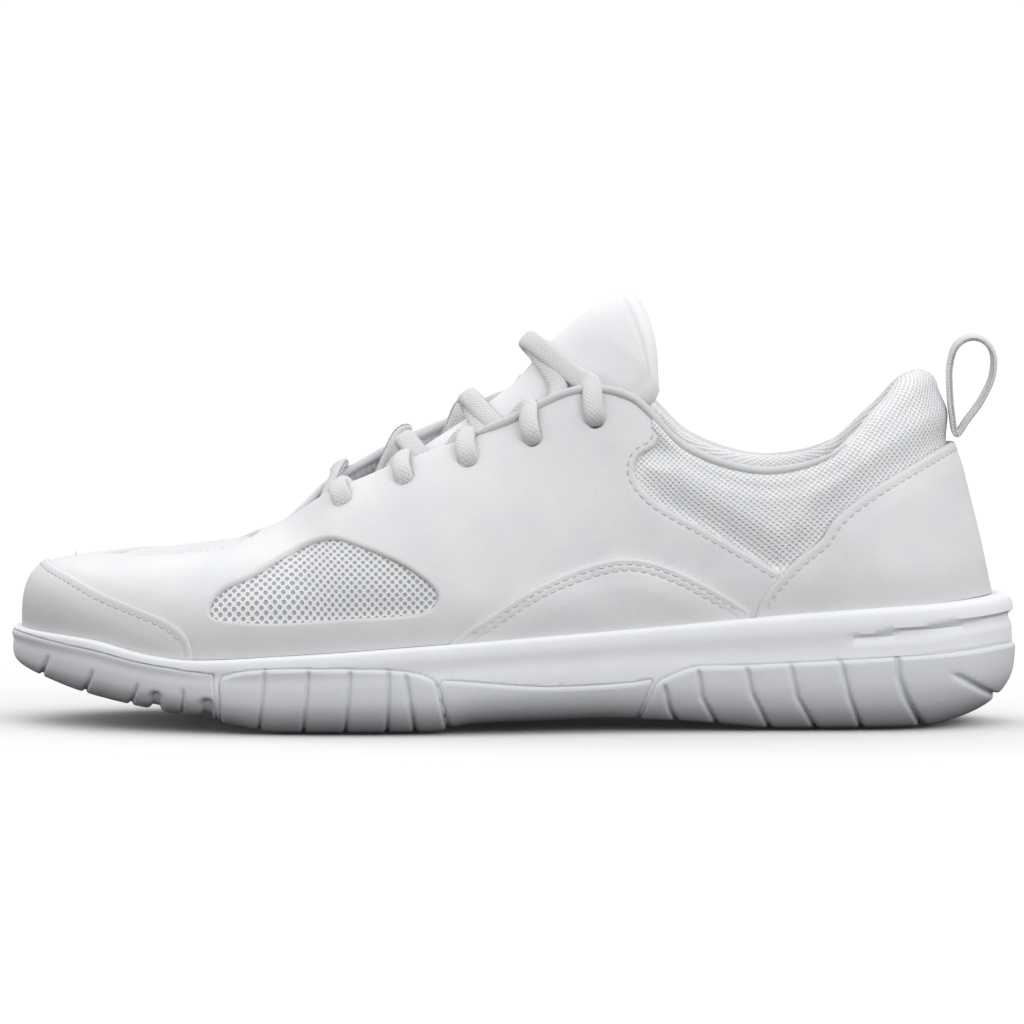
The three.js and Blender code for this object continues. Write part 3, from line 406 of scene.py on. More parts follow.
# ---------- The skin of the upper ----------
# The same ribs as the CAD model's: foot (x, y), top (x, y, z), from the toe round by the lateral side.
LATERAL = [
    [(-126, -7), (-111, 6.5, 45.4)], [(-113, -23), (-103, 6, 46.4)], [(-93, -35), (-88, 5, 48.2)],
    [(-73, -41.5), (-73, 4.5, 50.4)], [(-58, -44.5), (-63, 4, 53.6)],
    [(-45, -45.7), (-50, -11, 62)], [(-25, -45), (-28, -17, 71.3)], [(0, -41.5), (-4, -20, 79.6)],
    [(22, -37.5), (18, -23.5, 88.4)], [(34, -35.5), (31, -26, 86)],
    [(50, -33.5), (47, -28.5, 70.8)], [(70, -32.5), (67, -29.5, 64.6)], [(90, -31.8), (85, -27.5, 69)],
    [(106, -29), (97, -21, 79.5)], [(119, -19.5), (107.5, -11, 88.3)],
]
MEDIAL = [
    [(-126.5, 24.5), (-111, 6.5, 45.4)], [(-114, 37), (-103, 6, 46.4)], [(-94, 43.5), (-88, 5, 48.2)],
    [(-74, 46.5), (-73, 4.5, 50.4)], [(-60, 47), (-63, 4, 53.6)],
    [(-46, 45.5), (-50, 18, 64)], [(-25, 40.5), (-28, 21, 75.5)], [(0, 34), (-4, 22, 84)],
    [(22, 30), (18, 23.5, 90)], [(34, 29.5), (31, 25.5, 86.5)],
    [(50, 29.5), (47, 28, 71)], [(70, 30), (67, 28.5, 64.6)], [(90, 30), (85, 26.5, 69)],
    [(106, 28), (97, 20.5, 79.5)], [(119, 19), (107.5, 11, 88.3)],
]
RING = [[(-131, 9), (-116, 7, 44.8)], *LATERAL, [(127.3, 0), (113, 0, 90)], *MEDIAL[::-1]]
FEET = np.array([(*foot, 0) for foot, _ in RING], float)
TOPS = np.array([top for _, top in RING], float)
TURNS = len(RING)  # u runs from 0 at the toe to this, once round the shoe
HEEL = TURNS / 2
RIDGE = 5  # up to this station both sides meet on the ridge of the vamp

SHAPES = {
    "turn": [90, 90, 90, 90, 90, 88, 68, 60, 55, 48, 44, 40, 40, 40, 35, 30, 30],
    "square": [0.78, 0.78, 0.8, 0.82, 0.85, 0.88, 0.9, 0.95, 1, 1, 1, 1, 1, 1, 1, 1, 1],
    "round": [1, 1, 1, 1, 1, 1, 1, 1, 1, 0.9, 0.8, 0.7, 0.7, 0.6, 0.45, 0.3, 0.2],
    "pad": [0, 0, 0, 0, 0, 0, 0, 0, 0, 0, 1.2, 4.5, 6, 6, 6.5, 6.5, 6.5],
    "flare": [1.8, 1.8, 2, 2.2, 2.4, 2.5, 2.5, 2.3, 2, 2, 2, 2.5, 3, 3.2, 3.6, 4.4, 5],
    "roll": [7, 6.5, 5.5, 5, 5, 5.5, 6, 7, 9, 9, 7.5, 6, 6, 6, 7, 9, 12],
}
SHAPE = {key: height_curve(list(enumerate(values))) for key, values in SHAPES.items()}

edge_height = height_curve([(-131, 24.6), (-111, 23.3), (-97, 20.2), (-84, 18.9), (-62, 20.2),
                            (-25, 22.9), (0, 24.6), (37, 27.3), (80, 31), (128, 34)])
tread_curve = height_curve([(-124, 12), (-113, 8.6), (-93, 4.8), (-79, 3), (-69, 1), (-62, 0), (-22, 0),
                            (-12, 1.6), (6, 2.2), (26, 2.6), (44, 1.9), (58, 0.8), (67, 0), (107, 0),
                            (114, 0.9), (121, 2.6)])


def tread_height(x):
    return np.maximum(tread_curve(x), 0)


def station(u):
    u = np.mod(u, TURNS)
    return np.minimum(u, TURNS - u)


TABLE_U = np.arange(TURNS * 200 + 1) / 200  # the rings are worked out once at these u, then read off
FOOT_TABLE = catmull(FEET, TABLE_U, True)
FOOT_TABLE[:, 2] = edge_height(FOOT_TABLE[:, 0])
TOP_TABLE = catmull(TOPS, TABLE_U, True)
TOP_TABLE = np.where((station(TABLE_U) <= RIDGE)[:, None],
                     (TOP_TABLE + catmull(TOPS, -TABLE_U, True)) / 2, TOP_TABLE)


def read_ring(table, u):
    return read_off(np.mod(u, TURNS), TABLE_U, table)


def skin(u, s):
    """Point of the skin: u round the shoe, s from the sole's edge (0) up the rib to its top (1)."""
    u, s = np.broadcast_arrays(np.asarray(u, float), np.asarray(s, float))
    foot = read_ring(FOOT_TABLE, u)
    top = read_ring(TOP_TABLE, u)
    st = station(u)
    turn = np.radians(SHAPE["turn"](st))
    square = SHAPE["square"](st)
    blend = SHAPE["round"](st)
    end = np.maximum(np.cos(turn), 0) ** square
    arc_in = (np.maximum(np.cos(s * turn), 0) ** square - end) / (1 - end)
    arc_up = (np.sin(np.maximum(s, 0) * turn) / np.sin(turn)) ** square
    across = (1 - s) * (1 - blend) + arc_in * blend
    up = s * (1 - blend) + arc_up * blend
    p = top + (foot - top) * across[..., None]
    p[..., 2] = foot[..., 2] + (top[..., 2] - foot[..., 2]) * up
    return p


STEP_U = 0.02
STEP_S = 0.005


def outward(u, s):
    """Outward unit normal of the skin."""
    u, s = np.broadcast_arrays(np.asarray(u, float), np.asarray(s, float))

    def raw(u, s):
        along = skin(u + STEP_U, s) - skin(u - STEP_U, s)
        up = skin(u, np.minimum(s + STEP_S, 1)) - skin(u, np.maximum(s - STEP_S, 0))
        out = np.cross(along, up)
        out[..., 2] *= np.clip(s / 0.2, 0, 1)
        return unit(out)

    out = raw(u, s)
    share = np.where(station(u) <= RIDGE, smoothstep(s, 0.9, 1.0), 0)[..., None]
    return unit(out + raw(-u, s) * share)


INSIDE = 5.3  # thickness of the upper without its padding
ROLL = 0.12  # s from 1 to 1 + ROLL turns over the rim, and goes on down the inside after it


def padding(u, s):
    return np.maximum(SHAPE["pad"](station(u)), 0) * smoothstep(s, 0.3, 0.75)


def place(u, s, depth):
    """Point at a depth under the skin; past s = 1 it has turned over the rim and goes down inside."""
    u, s, depth = np.broadcast_arrays(np.asarray(u, float), np.asarray(s, float),
                                      np.asarray(depth, float))
    at = np.where(s <= 1, s, np.clip(1 - (s - 1 - ROLL), 0, 1))
    p = skin(u, at)
    out = outward(u, at)
    up = unit(skin(u, at) - skin(u, at - 2 * STEP_S))
    angle = math.pi * np.clip((s - 1) / ROLL, 0, 1)[..., None]
    middle = ((INSIDE + padding(u, at)) / 2)[..., None]
    radius = middle - depth[..., None]
    rolled = p - out * middle + radius * (np.cos(angle) * out + np.sin(angle) * up)
    return np.where((s <= 1)[..., None], p - out * depth[..., None], rolled)


# ---------- Fields: signed distance in mm, positive inside ----------
def outline_distance(a, b, outline):
    """Signed distance and its direction in the plane of a closed outline."""
    start = np.asarray(outline, float)
    end = np.roll(start, -1, axis=0)
    best = np.full(len(a), 1e9)
    toward = np.zeros((len(a), 2))
    inside = np.zeros(len(a), bool)
    for (x0, z0), (x1, z1) in zip(start, end):
        dx, dz = x1 - x0, z1 - z0
        t = np.clip(((a - x0) * dx + (b - z0) * dz) / max(dx * dx + dz * dz, 1e-12), 0, 1)
        ox, oz = a - x0 - t * dx, b - z0 - t * dz
        distance = np.hypot(ox, oz)
        closer = distance < best
        best = np.where(closer, distance, best)
        toward[closer] = np.stack([ox, oz], 1)[closer]
        if dz:
            crosses = (z0 > b) != (z1 > b)
            inside ^= crosses & (a < x0 + (b - z0) * dx / dz)
    return np.where(inside, best, -best), unit(toward)


def surface_distance(point, out, outline, axes):
    """Signed distance to a closed outline drawn on two axes, measured along a surface through point
    with the normal out."""
    value, toward = outline_distance(*point[:, axes].T, outline)
    slant = np.sum(out[:, axes] * toward, axis=1)
    return value / np.sqrt(np.maximum(1 - slant * slant, 0.09))


SIDE_VIEW, PLAN = [0, 2], [0, 1]


def outline_field(outline, axes=SIDE_VIEW):
    """Field of a closed outline on the skin."""

    def field(u, s):
        at = np.clip(s, 0, 1)
        return surface_distance(skin(u, at), outward(u, at), outline, axes)

    return field


def lowest(*fields):
    """Inside all of the fields."""
    return lambda u, s: np.min([f(u, s) for f in fields], axis=0)


def outside(field):
    return lambda u, s: -field(u, s)


# ---------- Meshes ----------
def grid_faces(rows, cols):
    index = np.arange(rows * cols).reshape(rows, cols)
    corners = [index[:-1, :-1], index[1:, :-1], index[1:, 1:], index[:-1, 1:]]
    return np.stack([corner.ravel() for corner in corners], axis=1).tolist()


def grid(us, ss):
    """Every (u, s), one column after another."""
    return (g.ravel() for g in np.meshgrid(us, ss, indexing="ij"))


def clip(us, ss, cuts):
    """A grid over (u, s), split where each field takes each of its values, and cut off below zero
    where drop is set. Returns u, s and the faces."""
    u, s = grid(us, ss)
    scratch = bpy.data.meshes.new("scratch")
    scratch.from_pydata(np.stack([u, s, 0 * u], axis=1).tolist(), [], grid_faces(len(us), len(ss)))
    bm = bmesh.new()
    bm.from_mesh(scratch)
    bpy.data.meshes.remove(scratch)
    for field, values, drop in cuts:
        here = np.array([v.co for v in bm.verts])
        for v, value in zip(bm.verts, field(here[:, 0], here[:, 1])):
            v.co.z = value
        for value in values:
            geom = bm.verts[:] + bm.edges[:] + bm.faces[:]
            bmesh.ops.bisect_plane(bm, geom=geom, dist=1e-5, plane_co=(0, 0, value),
                                   plane_no=(0, 0, 1), clear_inner=drop and value == 0)
    bm.verts.index_update()
    here = np.array([v.co for v in bm.verts])
    kept = [[v.index for v in f.verts] for f in bm.faces]
    bm.free()
    return here[:, 0], here[:, 1], kept


def weld(keys, faces):
    """Numbers for points that share a key, and the faces with those numbers."""
    _, first, same = np.unique(np.round(keys, 4), axis=0, return_index=True, return_inverse=True)
    same = same.ravel()
    out = []
    for face in faces:
        ring = [int(same[i]) for i in face]
        ring = [v for i, v in enumerate(ring) if v != ring[i - 1]]
        if len(ring) > 2:
            out.append(ring)
    return first, out


def closed_shell(front, back, faces):
    """A closed body between front and back points that share their faces."""
    n = len(front)
    directed = {(f[i - 1], f[i]) for f in faces for i in range(len(f))}
    out = list(faces) + [[v + n for v in reversed(f)] for f in faces]
    for a, b in directed:
        if (b, a) not in directed:
            out.append([b, a, a + n, b + n])
    return np.vstack([front, back]), out


def add_piece(name, points, faces, material, body, slot, replaces=(), sharp=45, **attributes):
    """A named mesh in the row frame. Attributes are one number or three for each point."""
    mesh = bpy.data.meshes.new(name)
    mesh.from_pydata(metres(points).tolist(), [], [list(map(int, f)) for f in faces])
    mesh.validate()
    mesh.polygons.foreach_set("use_smooth", [True] * len(mesh.polygons))
    if sharp:
        mesh.set_sharp_from_angle(angle=math.radians(sharp))
    for key, values in attributes.items():
        values = np.asarray(values, float)
        kind = "FLOAT" if values.ndim == 1 else "FLOAT_VECTOR"
        layer = mesh.attributes.new(key, kind, "POINT")
        layer.data.foreach_set("value" if values.ndim == 1 else "vector", values.ravel())
    mesh.materials.append(material)
    obj = bpy.data.objects.new(name, mesh)
    bpy.context.collection.objects.link(obj)
    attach(obj, body)
    if replaces:
        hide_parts(*replaces)
    return obj


def shell_piece(name, front, back, faces, *placing, **attributes):
    """A closed piece between a front and a back. Both take the same attributes."""
    points, whole = closed_shell(front, back, faces)
    both = {key: value if key == "sharp" else np.concatenate([value, value])
            for key, value in attributes.items()}
    return add_piece(name, points, whole, *placing, **both)


# ---------- Outlines of the upper's panels, true (x, z) or (x, y) ----------
FAR = 200
TOE_CAP = [(-FAR, 10), (-FAR, 60), *smooth([(-127.5, 47), (-124, 43), (-117.7, 40.2), (-108.7, 36),
           (-99.4, 32.6), (-90.9, 29.2), (-86.8, 26), (-84.8, 22.1), (-83.7, 10)])]
WINDOW = smooth([(-80, 31.4), (-78.4, 36.9), (-68.4, 42.6), (-55.1, 50.2), (-48, 51.7), (-41.9, 50.3),
                 (-26.8, 43.4), (-19.6, 36.5), (-21.5, 32.8), (-45.6, 30.3), (-69.4, 29.3)], True, 8)
ARCH = [(-16.4, 5), *smooth([(-16.4, 24.2), (-7.2, 30.3), (5, 38), (14, 42), (23.3, 44.9), (30.5, 45.8),
        (38.4, 44.3), (47.7, 40.3), (56.7, 35.2), (62.5, 31.5)]), (62.5, 5)]
HEEL_LINE = smooth([(63.6, 30), (65.7, 35.1), (70, 40.4), (75, 45.4), (81, 50.2), (84.5, 55.4),
                    (94.6, 63.2), (105.5, 69.2), (116, 74), (125, 76)])
HEEL_PANEL = [(63.6, 5), *HEEL_LINE, (FAR, 80), (FAR, 5)]
COLLAR = [*smooth([(39.5, 90), (38.2, 75.7), (33.1, 72), (32.1, 68.6), (33.1, 65.8), (37.4, 61),
          (49.6, 53.7), (60.2, 47.6), (69.4, 42)]), (75, 43), (84.5, 52), (105.5, 66), (125, 73),
          (FAR, 73), (FAR, 130), (41, 130)]
TOE_BOX = smooth([(-108, 7), (-101, -6), (-88, -13), (-75, -13), (-68, 4), (-75, 22), (-88, 22),
                  (-101, 18)], True, 8)
window = outline_field(WINDOW)
collar = outline_field(COLLAR)
toe_box = outline_field(TOE_BOX, PLAN)

# ---------- Lace holes ----------
HOLES = 5
FIRST_HOLE_X = -46.6
HOLE_PITCH = 16.8
HOLE_INSET = 7.5
HOLE_RADIUS = 2.1
SIDES = {"lateral": 1, "medial": -1}


def rim_u(side, x):
    """Where the rim of the throat passes x, on one side."""
    along = np.linspace(RIDGE + 0.02, 12, 400)
    return SIDES[side] * np.interp(x, skin(SIDES[side] * along, 1)[:, 0], along)


def below_rim(side, x, run):
    """(u, s) at a run in mm down the rib from the rim."""
    u = rim_u(side, x)
    s = np.linspace(1, 0, 300)
    return u, np.interp(run, run_of(skin(u, s)), s)


def hole_x(row):
    return FIRST_HOLE_X + row * HOLE_PITCH


holes = [skin(*below_rim(side, hole_x(n), HOLE_INSET)) for side in SIDES for n in range(HOLES)]


def punched(u, s):
    """Positive away from the lace holes."""
    p = skin(u, np.clip(s, 0, 1))
    away = np.min([np.linalg.norm(p - hole, axis=1) for hole in holes], axis=0) - HOLE_RADIUS
    return np.where(s > 1, 9, away)


# ---------- Panels of the upper ----------
def columns(low, high, fine=True):
    """u of the grid's columns, closer together beside the lace holes."""
    us = np.arange(round(low * 20), round(high * 20) + 1) / 20
    if not fine:
        return us
    near = (station(us) >= 5.4) & (station(us) < 9.6)
    return np.unique(np.round(np.concatenate([us, us[near] + 0.025]), 4))


LOW_ROWS = np.linspace(0, 0.7, 43)
HIGH_ROWS = np.linspace(0.7, 1, 33)[1:]
ROLL_ROWS = 1 + ROLL * np.linspace(0, 1, 11)[1:]


def round_edge(f, radius, drop):
    """Depth added within a radius of a panel's edge, down to drop at the edge itself."""
    t = np.clip(1 - f / radius, 0, 1)
    return drop * (1 - np.sqrt(np.maximum(1 - t * t, 0)))


def groove(f, centre, width, depth):
    return depth * np.exp(-(((f - centre) / width) ** 2))


def softness(p, size, seed):
    """Slow unevenness of a sheet of leather or cloth, about -1 to 1."""
    phase = np.random.default_rng(seed).uniform(0, 2 * math.pi, (5, 4))
    total = 0
    for k, (a, b, c, d) in enumerate(phase):
        way = np.array([math.cos(a), 0.6 * math.sin(b), math.sin(a)]) * (1 + 0.35 * k)
        total = total + np.sin(p @ way * 2 * math.pi / size + c) * math.cos(d)
    return total / 2.5


arc_u = np.arange(0, TURNS + 0.01, 0.05)
arc_run = run_of(skin(arc_u, 0.55))


def lay_of(u, s):
    """Distance round the shoe and up the rib, in mm: the way cloth lies."""
    rise = (skin(u, 1)[:, 2] - skin(u, 0)[:, 2]) * 1.15
    over_rim = math.pi * (INSIDE + padding(u, 1)) / 2 * np.clip((s - 1) / ROLL, 0, 1)
    up = rise * (np.clip(s, 0, 1) + np.clip(s - 1 - ROLL, 0, 1)) + over_rim
    return np.stack([np.interp(np.mod(u, TURNS), arc_u, arc_run), up, 0 * s], axis=1)


def upper_panel(name, us, ss, cuts, front, back, material, slot, replaces, keep=None, plan=False):
    """A closed panel on the skin. front and back give depths at (u, s)."""
    u, s, faces = clip(us, ss, cuts)
    if keep is not None:
        faces = [f for f in faces if keep(np.mean(u[f]), np.mean(s[f]))]
    top = (station(u) <= RIDGE + 1e-3) & ((np.abs(s - 1) < 1e-4) | (np.abs(s - 1 - ROLL) < 1e-4))
    turn = np.mod(np.round(u, 4), TURNS)
    used = np.zeros(len(u), bool)
    used[[i for f in faces for i in f]] = True
    turn = np.where(used, turn, -1)
    first, faces = weld(np.stack([np.where(top & used, station(u), turn), s], axis=1), faces)
    u, s = u[first], s[first]
    outer = place(u, s, front(u, s))
    edge = np.exp(-np.clip(cuts[0][0](u, s), 0, None) / 0.9) if cuts else 0 * u
    lay = outer * (1, 1, 0) if plan else lay_of(u, s)
    return shell_piece(name, outer, place(u, s, back(u, s)), faces, material, "shoe", slot, replaces,
                       edge=edge, lay=lay)


# Depths under the skin, in mm.
OVERLAY_DEPTH = 0.6
OVERLAY_BACK = 1.5
LEATHER_DEPTH = 1.6
LEATHER_BACK = 2.8
MESH_DEPTH = 2.9
MESH_BACK = 3.7
COLLAR_BACK = 4.2
EDGE_CUTS = [0, 0.12, 0.4, 1.0]  # where a panel's grid is split beside its edge, in mm from the edge
SEAM_HALF = 0.45  # half width of the groove that a row of stitches pulls in
TUCK = 2.5  # how far a mesh goes on under the leather round it


def stitch_cuts(*rows):
    return [row + side for row in rows for side in (-SEAM_HALF, 0, SEAM_HALF)]


def level(depth):
    return lambda u, s: depth + 0 * u


def widened(field, margin):
    return lambda u, s: field(u, s) + margin


leather_field = lowest(outside(window), outside(collar), outside(toe_box), punched)
collar_edge = outside(collar)
COLLAR_ROW = 2.0


def leather_depth(u, s):
    f = leather_field(u, s)
    p = skin(u, np.clip(s, 0, 1))
    swell = 0.22 * softness(p, 46, 3) + 0.1 * softness(p, 19, 5)
    eyestay = 0.25 * smoothstep(s, 0.55, 0.8) * smoothstep(station(u), 5, 6.5)
    seam = groove(collar_edge(u, s), COLLAR_ROW, SEAM_HALF, 0.12)
    return LEATHER_DEPTH + round_edge(f, 1.0, 1.1) + seam - swell - eyestay


leather_rows = np.concatenate([LOW_ROWS, HIGH_ROWS, ROLL_ROWS, [1 + ROLL + 0.03, 1 + ROLL + 0.06]])
upper_panel(
    "upper_leather", columns(-HEEL, HEEL), leather_rows,
    [(leather_field, EDGE_CUTS, True), (collar_edge, stitch_cuts(COLLAR_ROW), False)],
    leather_depth, level(LEATHER_BACK), LEATHER, "upper_leather",
    ["quarter_lateral", "quarter_medial", "eyestay_backer_lateral", "eyestay_backer_medial"],
    keep=lambda u, s: s < 1 or station(u) > RIDGE)

# Rows of stitches, in mm from the overlay's edge.
OVERLAY_ROW = 2.4
ARCH_ROWS = (1.8, 3.4)


def overlay(name, outline, low, high, rows, replaces):
    """A leather panel laid over the upper, from u = low to high. Returns its depth field."""
    field = outline_field(outline)

    def front(u, s):
        f = field(u, s)
        p = skin(u, np.clip(s, 0, 1))
        depth = OVERLAY_DEPTH + round_edge(f, 0.9, 0.95) - 0.15 * softness(p, 40, 11)
        for row in rows:
            depth = depth + groove(f, row, SEAM_HALF, 0.16)
        return depth - 0.3 * smoothstep(f, rows[-1], rows[-1] + 5)

    upper_panel(name, columns(low, high, False), np.linspace(0, 1, 75),
                [(field, EDGE_CUTS + stitch_cuts(*rows), True)],
                front, level(OVERLAY_BACK), OVERLAY, "upper_leather", replaces)
    return front


toe_depth = overlay("toe_cap", TOE_CAP, -4.5, 4.5, [OVERLAY_ROW], ["toe_cap", "toe_puff"])
heel_depth = overlay("heel_overlay", HEEL_PANEL, 10, 22, [OVERLAY_ROW], ["heel_overlay", "heel_counter"])
ARCH_SPANS = {"lateral": (6, 12), "medial": (20, 26)}
arch_depth = {side: overlay("arch_overlay_" + side, ARCH, *span, ARCH_ROWS, ["arch_overlay_" + side])
              for side, span in ARCH_SPANS.items()}


# ---------- Mesh, collar and lining ----------
for side, (low, high) in {"lateral": (1.5, 7.5), "medial": (24.5, 30.5)}.items():
    upper_panel("side_mesh_" + side, columns(low, high, False), np.linspace(0.05, 0.98, 64),
                [(widened(window, TUCK), [0], True)],
                lambda u, s: MESH_DEPTH - 0.5 * smoothstep(window(u, s), 0, 9),
                level(MESH_BACK), WINDOW_MESH, "upper_mesh", ["side_mesh_" + side])
upper_panel("toe_box_mesh", columns(-5, 5, False), np.linspace(0.2, 1, 60),
            [(widened(toe_box, TUCK), [0], True)],
            lambda u, s: MESH_DEPTH - 0.6 * smoothstep(toe_box(u, s), 0, 8),
            level(MESH_BACK), TOE_MESH, "upper_mesh", ["toe_box_mesh"], plan=True)

COLLAR_PUFF = 2.6
RIM_DEPTH = 0.9
COLLAR_FRONT = 8.6  # station where the padded collar starts
collar_field = lowest(widened(collar, TUCK), lambda u, s: station(u) - COLLAR_FRONT)


def collar_depth(u, s):
    p = skin(u, np.clip(s, 0, 1))
    to_heel_panel = -outline_distance(*p[:, SIDE_VIEW].T, HEEL_PANEL)[0]
    puffed = MESH_DEPTH - COLLAR_PUFF * smoothstep(np.minimum(collar(u, s), to_heel_panel), -0.5, 9)
    rim = RIM_DEPTH + 0.5 * smoothstep(s, 1, 1 + ROLL) - 0.35 * softness(p, 30, 8)
    return puffed + (rim - puffed) * smoothstep(s, 0.86, 1.0)


collar_rows = np.concatenate([np.linspace(0.15, 0.7, 30), HIGH_ROWS, ROLL_ROWS])
collar_piece = upper_panel(
    "collar_mesh", columns(COLLAR_FRONT, TURNS - COLLAR_FRONT, False), collar_rows,
    [(collar_field, [0], True)], collar_depth,
    lambda u, s: np.minimum(COLLAR_BACK, (INSIDE + padding(u, np.clip(s, 0, 1))) / 2), COLLAR_MESH,
    "upper_mesh", ["collar_mesh_lateral", "collar_mesh_medial", "collar_foam"])

LINING_START = 1 + 0.75 * ROLL
LINING_THICK = 0.7
lining_rows = np.concatenate([np.linspace(LINING_START, 1 + ROLL, 4),
                              1 + ROLL + np.linspace(0, 0.96, 70)[1:]])


def lining_depth(u, s):
    """Depth of the lining's outer side: under the collar mesh at the rim, then close to the inside."""
    return 1.9 - 1.6 * smoothstep(s, 1 + ROLL, 1 + ROLL + 0.08)


upper_panel(
    "lining", columns(-HEEL, HEEL, False), lining_rows, [], lining_depth,
    widened(lining_depth, LINING_THICK), LINING, "lining_fabric",
    ["vamp_lining", "collar_lining_lateral", "collar_lining_medial"],
    keep=lambda u, s: s > 1 + ROLL or station(u) > RIDGE + 0.1)


# ---------- Stitches ----------
STITCH_LENGTH = 1.9
STITCH_PITCH = 2.7
THREAD_RADIUS = 0.21
# Rings of a stitch: share of its length, share of its radius, lift in diameters.
STITCH_RINGS = [(-0.5, 0.25, -0.3), (-0.38, 0.85, 0.12), (0, 1, 0.28), (0.38, 0.85, 0.12),
                (0.5, 0.25, -0.3)]
STITCH_SIDES = 6
STITCH_STEP = 0.5  # mm between the points of a row
ROW_GAP = 3.2  # mm between neighbouring spots beyond which a row ends


def stitch_line(field, value, us, ss, keep):
    """Runs of (u, s) along field = value, by walking down each column and along each row."""
    grid_u, grid_s = np.meshgrid(us, ss, indexing="ij")
    f = field(grid_u.ravel(), grid_s.ravel()).reshape(grid_u.shape) - value
    points = []
    for axis in (0, 1):
        a, b = (f[:-1], f[1:]) if axis == 0 else (f[:, :-1], f[:, 1:])
        hit = np.argwhere((a > 0) != (b > 0))
        for i, j in hit:
            i2, j2 = (i + 1, j) if axis == 0 else (i, j + 1)
            t = f[i, j] / (f[i, j] - f[i2, j2])
            points.append((grid_u[i, j] + t * (grid_u[i2, j2] - grid_u[i, j]),
                           grid_s[i, j] + t * (grid_s[i2, j2] - grid_s[i, j])))
    points = np.array([p for p in points if keep(*p)])
    if len(points) < 4:
        return []
    spots = skin(points[:, 0], points[:, 1])
    left = set(range(len(points)))
    runs = []
    while left:
        chain = [left.pop()]
        for end in (-1, 0):
            while left:
                rest = np.array(sorted(left))
                gaps = np.linalg.norm(spots[rest] - spots[chain[end]], axis=1)
                nearest = int(np.argmin(gaps))
                if gaps[nearest] > ROW_GAP:
                    break
                pick = int(rest[nearest])
                left.discard(pick)
                chain.insert(0 if end == 0 else len(chain), pick)
        if len(chain) > 6:
            runs.append(points[chain])
    return runs


def stitch(centre, way, out, start):
    """Points, faces and lay of one stitch, whose points are numbered from start."""
    side = np.cross(way, out)
    points, faces, lays = [], [], []
    for along, size, lift in STITCH_RINGS:
        r = THREAD_RADIUS * size
        for n in range(STITCH_SIDES):
            angle = 2 * math.pi * n / STITCH_SIDES
            high = lift * THREAD_RADIUS * 2 + r * math.sin(angle)
            points.append(centre + way * along * STITCH_LENGTH + out * high + side * r * math.cos(angle))
            lays.append((along * STITCH_LENGTH, angle * r, 0))
    rings = len(STITCH_RINGS)
    for ring in range(rings - 1):
        for n in range(STITCH_SIDES):
            a = start + ring * STITCH_SIDES + n
            b = start + ring * STITCH_SIDES + (n + 1) % STITCH_SIDES
            faces.append([b, a, a + STITCH_SIDES, b + STITCH_SIDES])
    last = start + (rings - 1) * STITCH_SIDES
    faces.append([start + n for n in range(STITCH_SIDES)])
    faces.append([last + n for n in reversed(range(STITCH_SIDES))])
    return points, faces, lays


def stitches(name, runs, depth_of):
    """One mesh of separate stitches, half sunk in the leather."""
    points, faces, lays = [], [], []
    for run in runs:
        spots = skin(run[:, 0], run[:, 1])
        line = np.column_stack([spots, run])
        for _ in range(3):
            line[1:-1] = (line[:-2] + 2 * line[1:-1] + line[2:]) / 4
        line, _ = even(line, STITCH_STEP)
        step = round(STITCH_PITCH / STITCH_STEP)
        for k in range(step, len(line) - step, step):
            u, s = line[k, 3], line[k, 4]
            out = outward(u, min(s, 1.0))
            centre = place(u, s, depth_of(np.array([u]), np.array([s]))[0])
            way = unit(line[k + 1, :3] - line[k - 1, :3])
            way = unit(way - out * (way @ out))
            more_points, more_faces, more_lays = stitch(centre, way, out, len(points))
            points += more_points
            faces += more_faces
            lays += more_lays
    add_piece(name, points, faces, THREAD, "shoe", "lace", sharp=0, lay=np.array(lays))


def panel_stitches(name, field, low, high, rows, depth_of, keep=lambda u, s: True):
    """Stitches where the field equals each row, from u = low to high."""
    runs = []
    for row in rows:
        runs += stitch_line(field, row, np.arange(low, high, 0.06), np.linspace(0, 1, 90),
                            lambda u, s: 0.02 < s < 0.985 and keep(u, s))
    stitches(name, runs, depth_of)


COLLAR_SEAM_END = 73  # x where the heel overlay covers the collar's seam
panel_stitches("toe_cap_stitching", outline_field(TOE_CAP), -4.5, 4.5, [OVERLAY_ROW], toe_depth)
panel_stitches("heel_stitching", outline_field(HEEL_PANEL), 9.5, 22.5, [OVERLAY_ROW], heel_depth)
for side, span in ARCH_SPANS.items():
    panel_stitches("arch_stitching_" + side, outline_field(ARCH), *span, ARCH_ROWS, arch_depth[side])
panel_stitches("collar_stitching", collar_edge, 8.5, 23.5, [COLLAR_ROW], leather_depth,
               keep=lambda u, s: skin(u, s)[0] < COLLAR_SEAM_END)


# ---------- Sole ----------
# The wall's profile: share of the flare, share of the roll, tuck in mm, share of the height.
WALL = np.array([
    (0, 0, -3, 0.97), (0.1, 0, -0.6, 0.995), (0.45, 0, 0.2, 1), (0.85, 0, 0.4, 0.955), (1, 0, 0.35, 0.86),
    (0.98, 0, 0, 0.7), (1, 0, 0.1, 0.55), (0.92, 0.02, 0.1, 0.38), (0.72, 0.12, 0, 0.24),
    (0.4, 0.34, 0, 0.12), (0.12, 0.66, 0, 0.04), (0, 1, -0.6, 0),
])
WALL_STEPS = 46
FLOOR_STEPS = 26

OUT_TABLE = outward(TABLE_U, 0 * TABLE_U) * (1, 1, 0)
WALL_W = np.linspace(0, 1, 400)
WALL_TABLE = catmull(WALL, np.linspace(0, len(WALL) - 1, len(WALL_W)))


def foot_out(u):
    """Level direction away from the foot of the rib."""
    return unit(read_ring(OUT_TABLE, u))


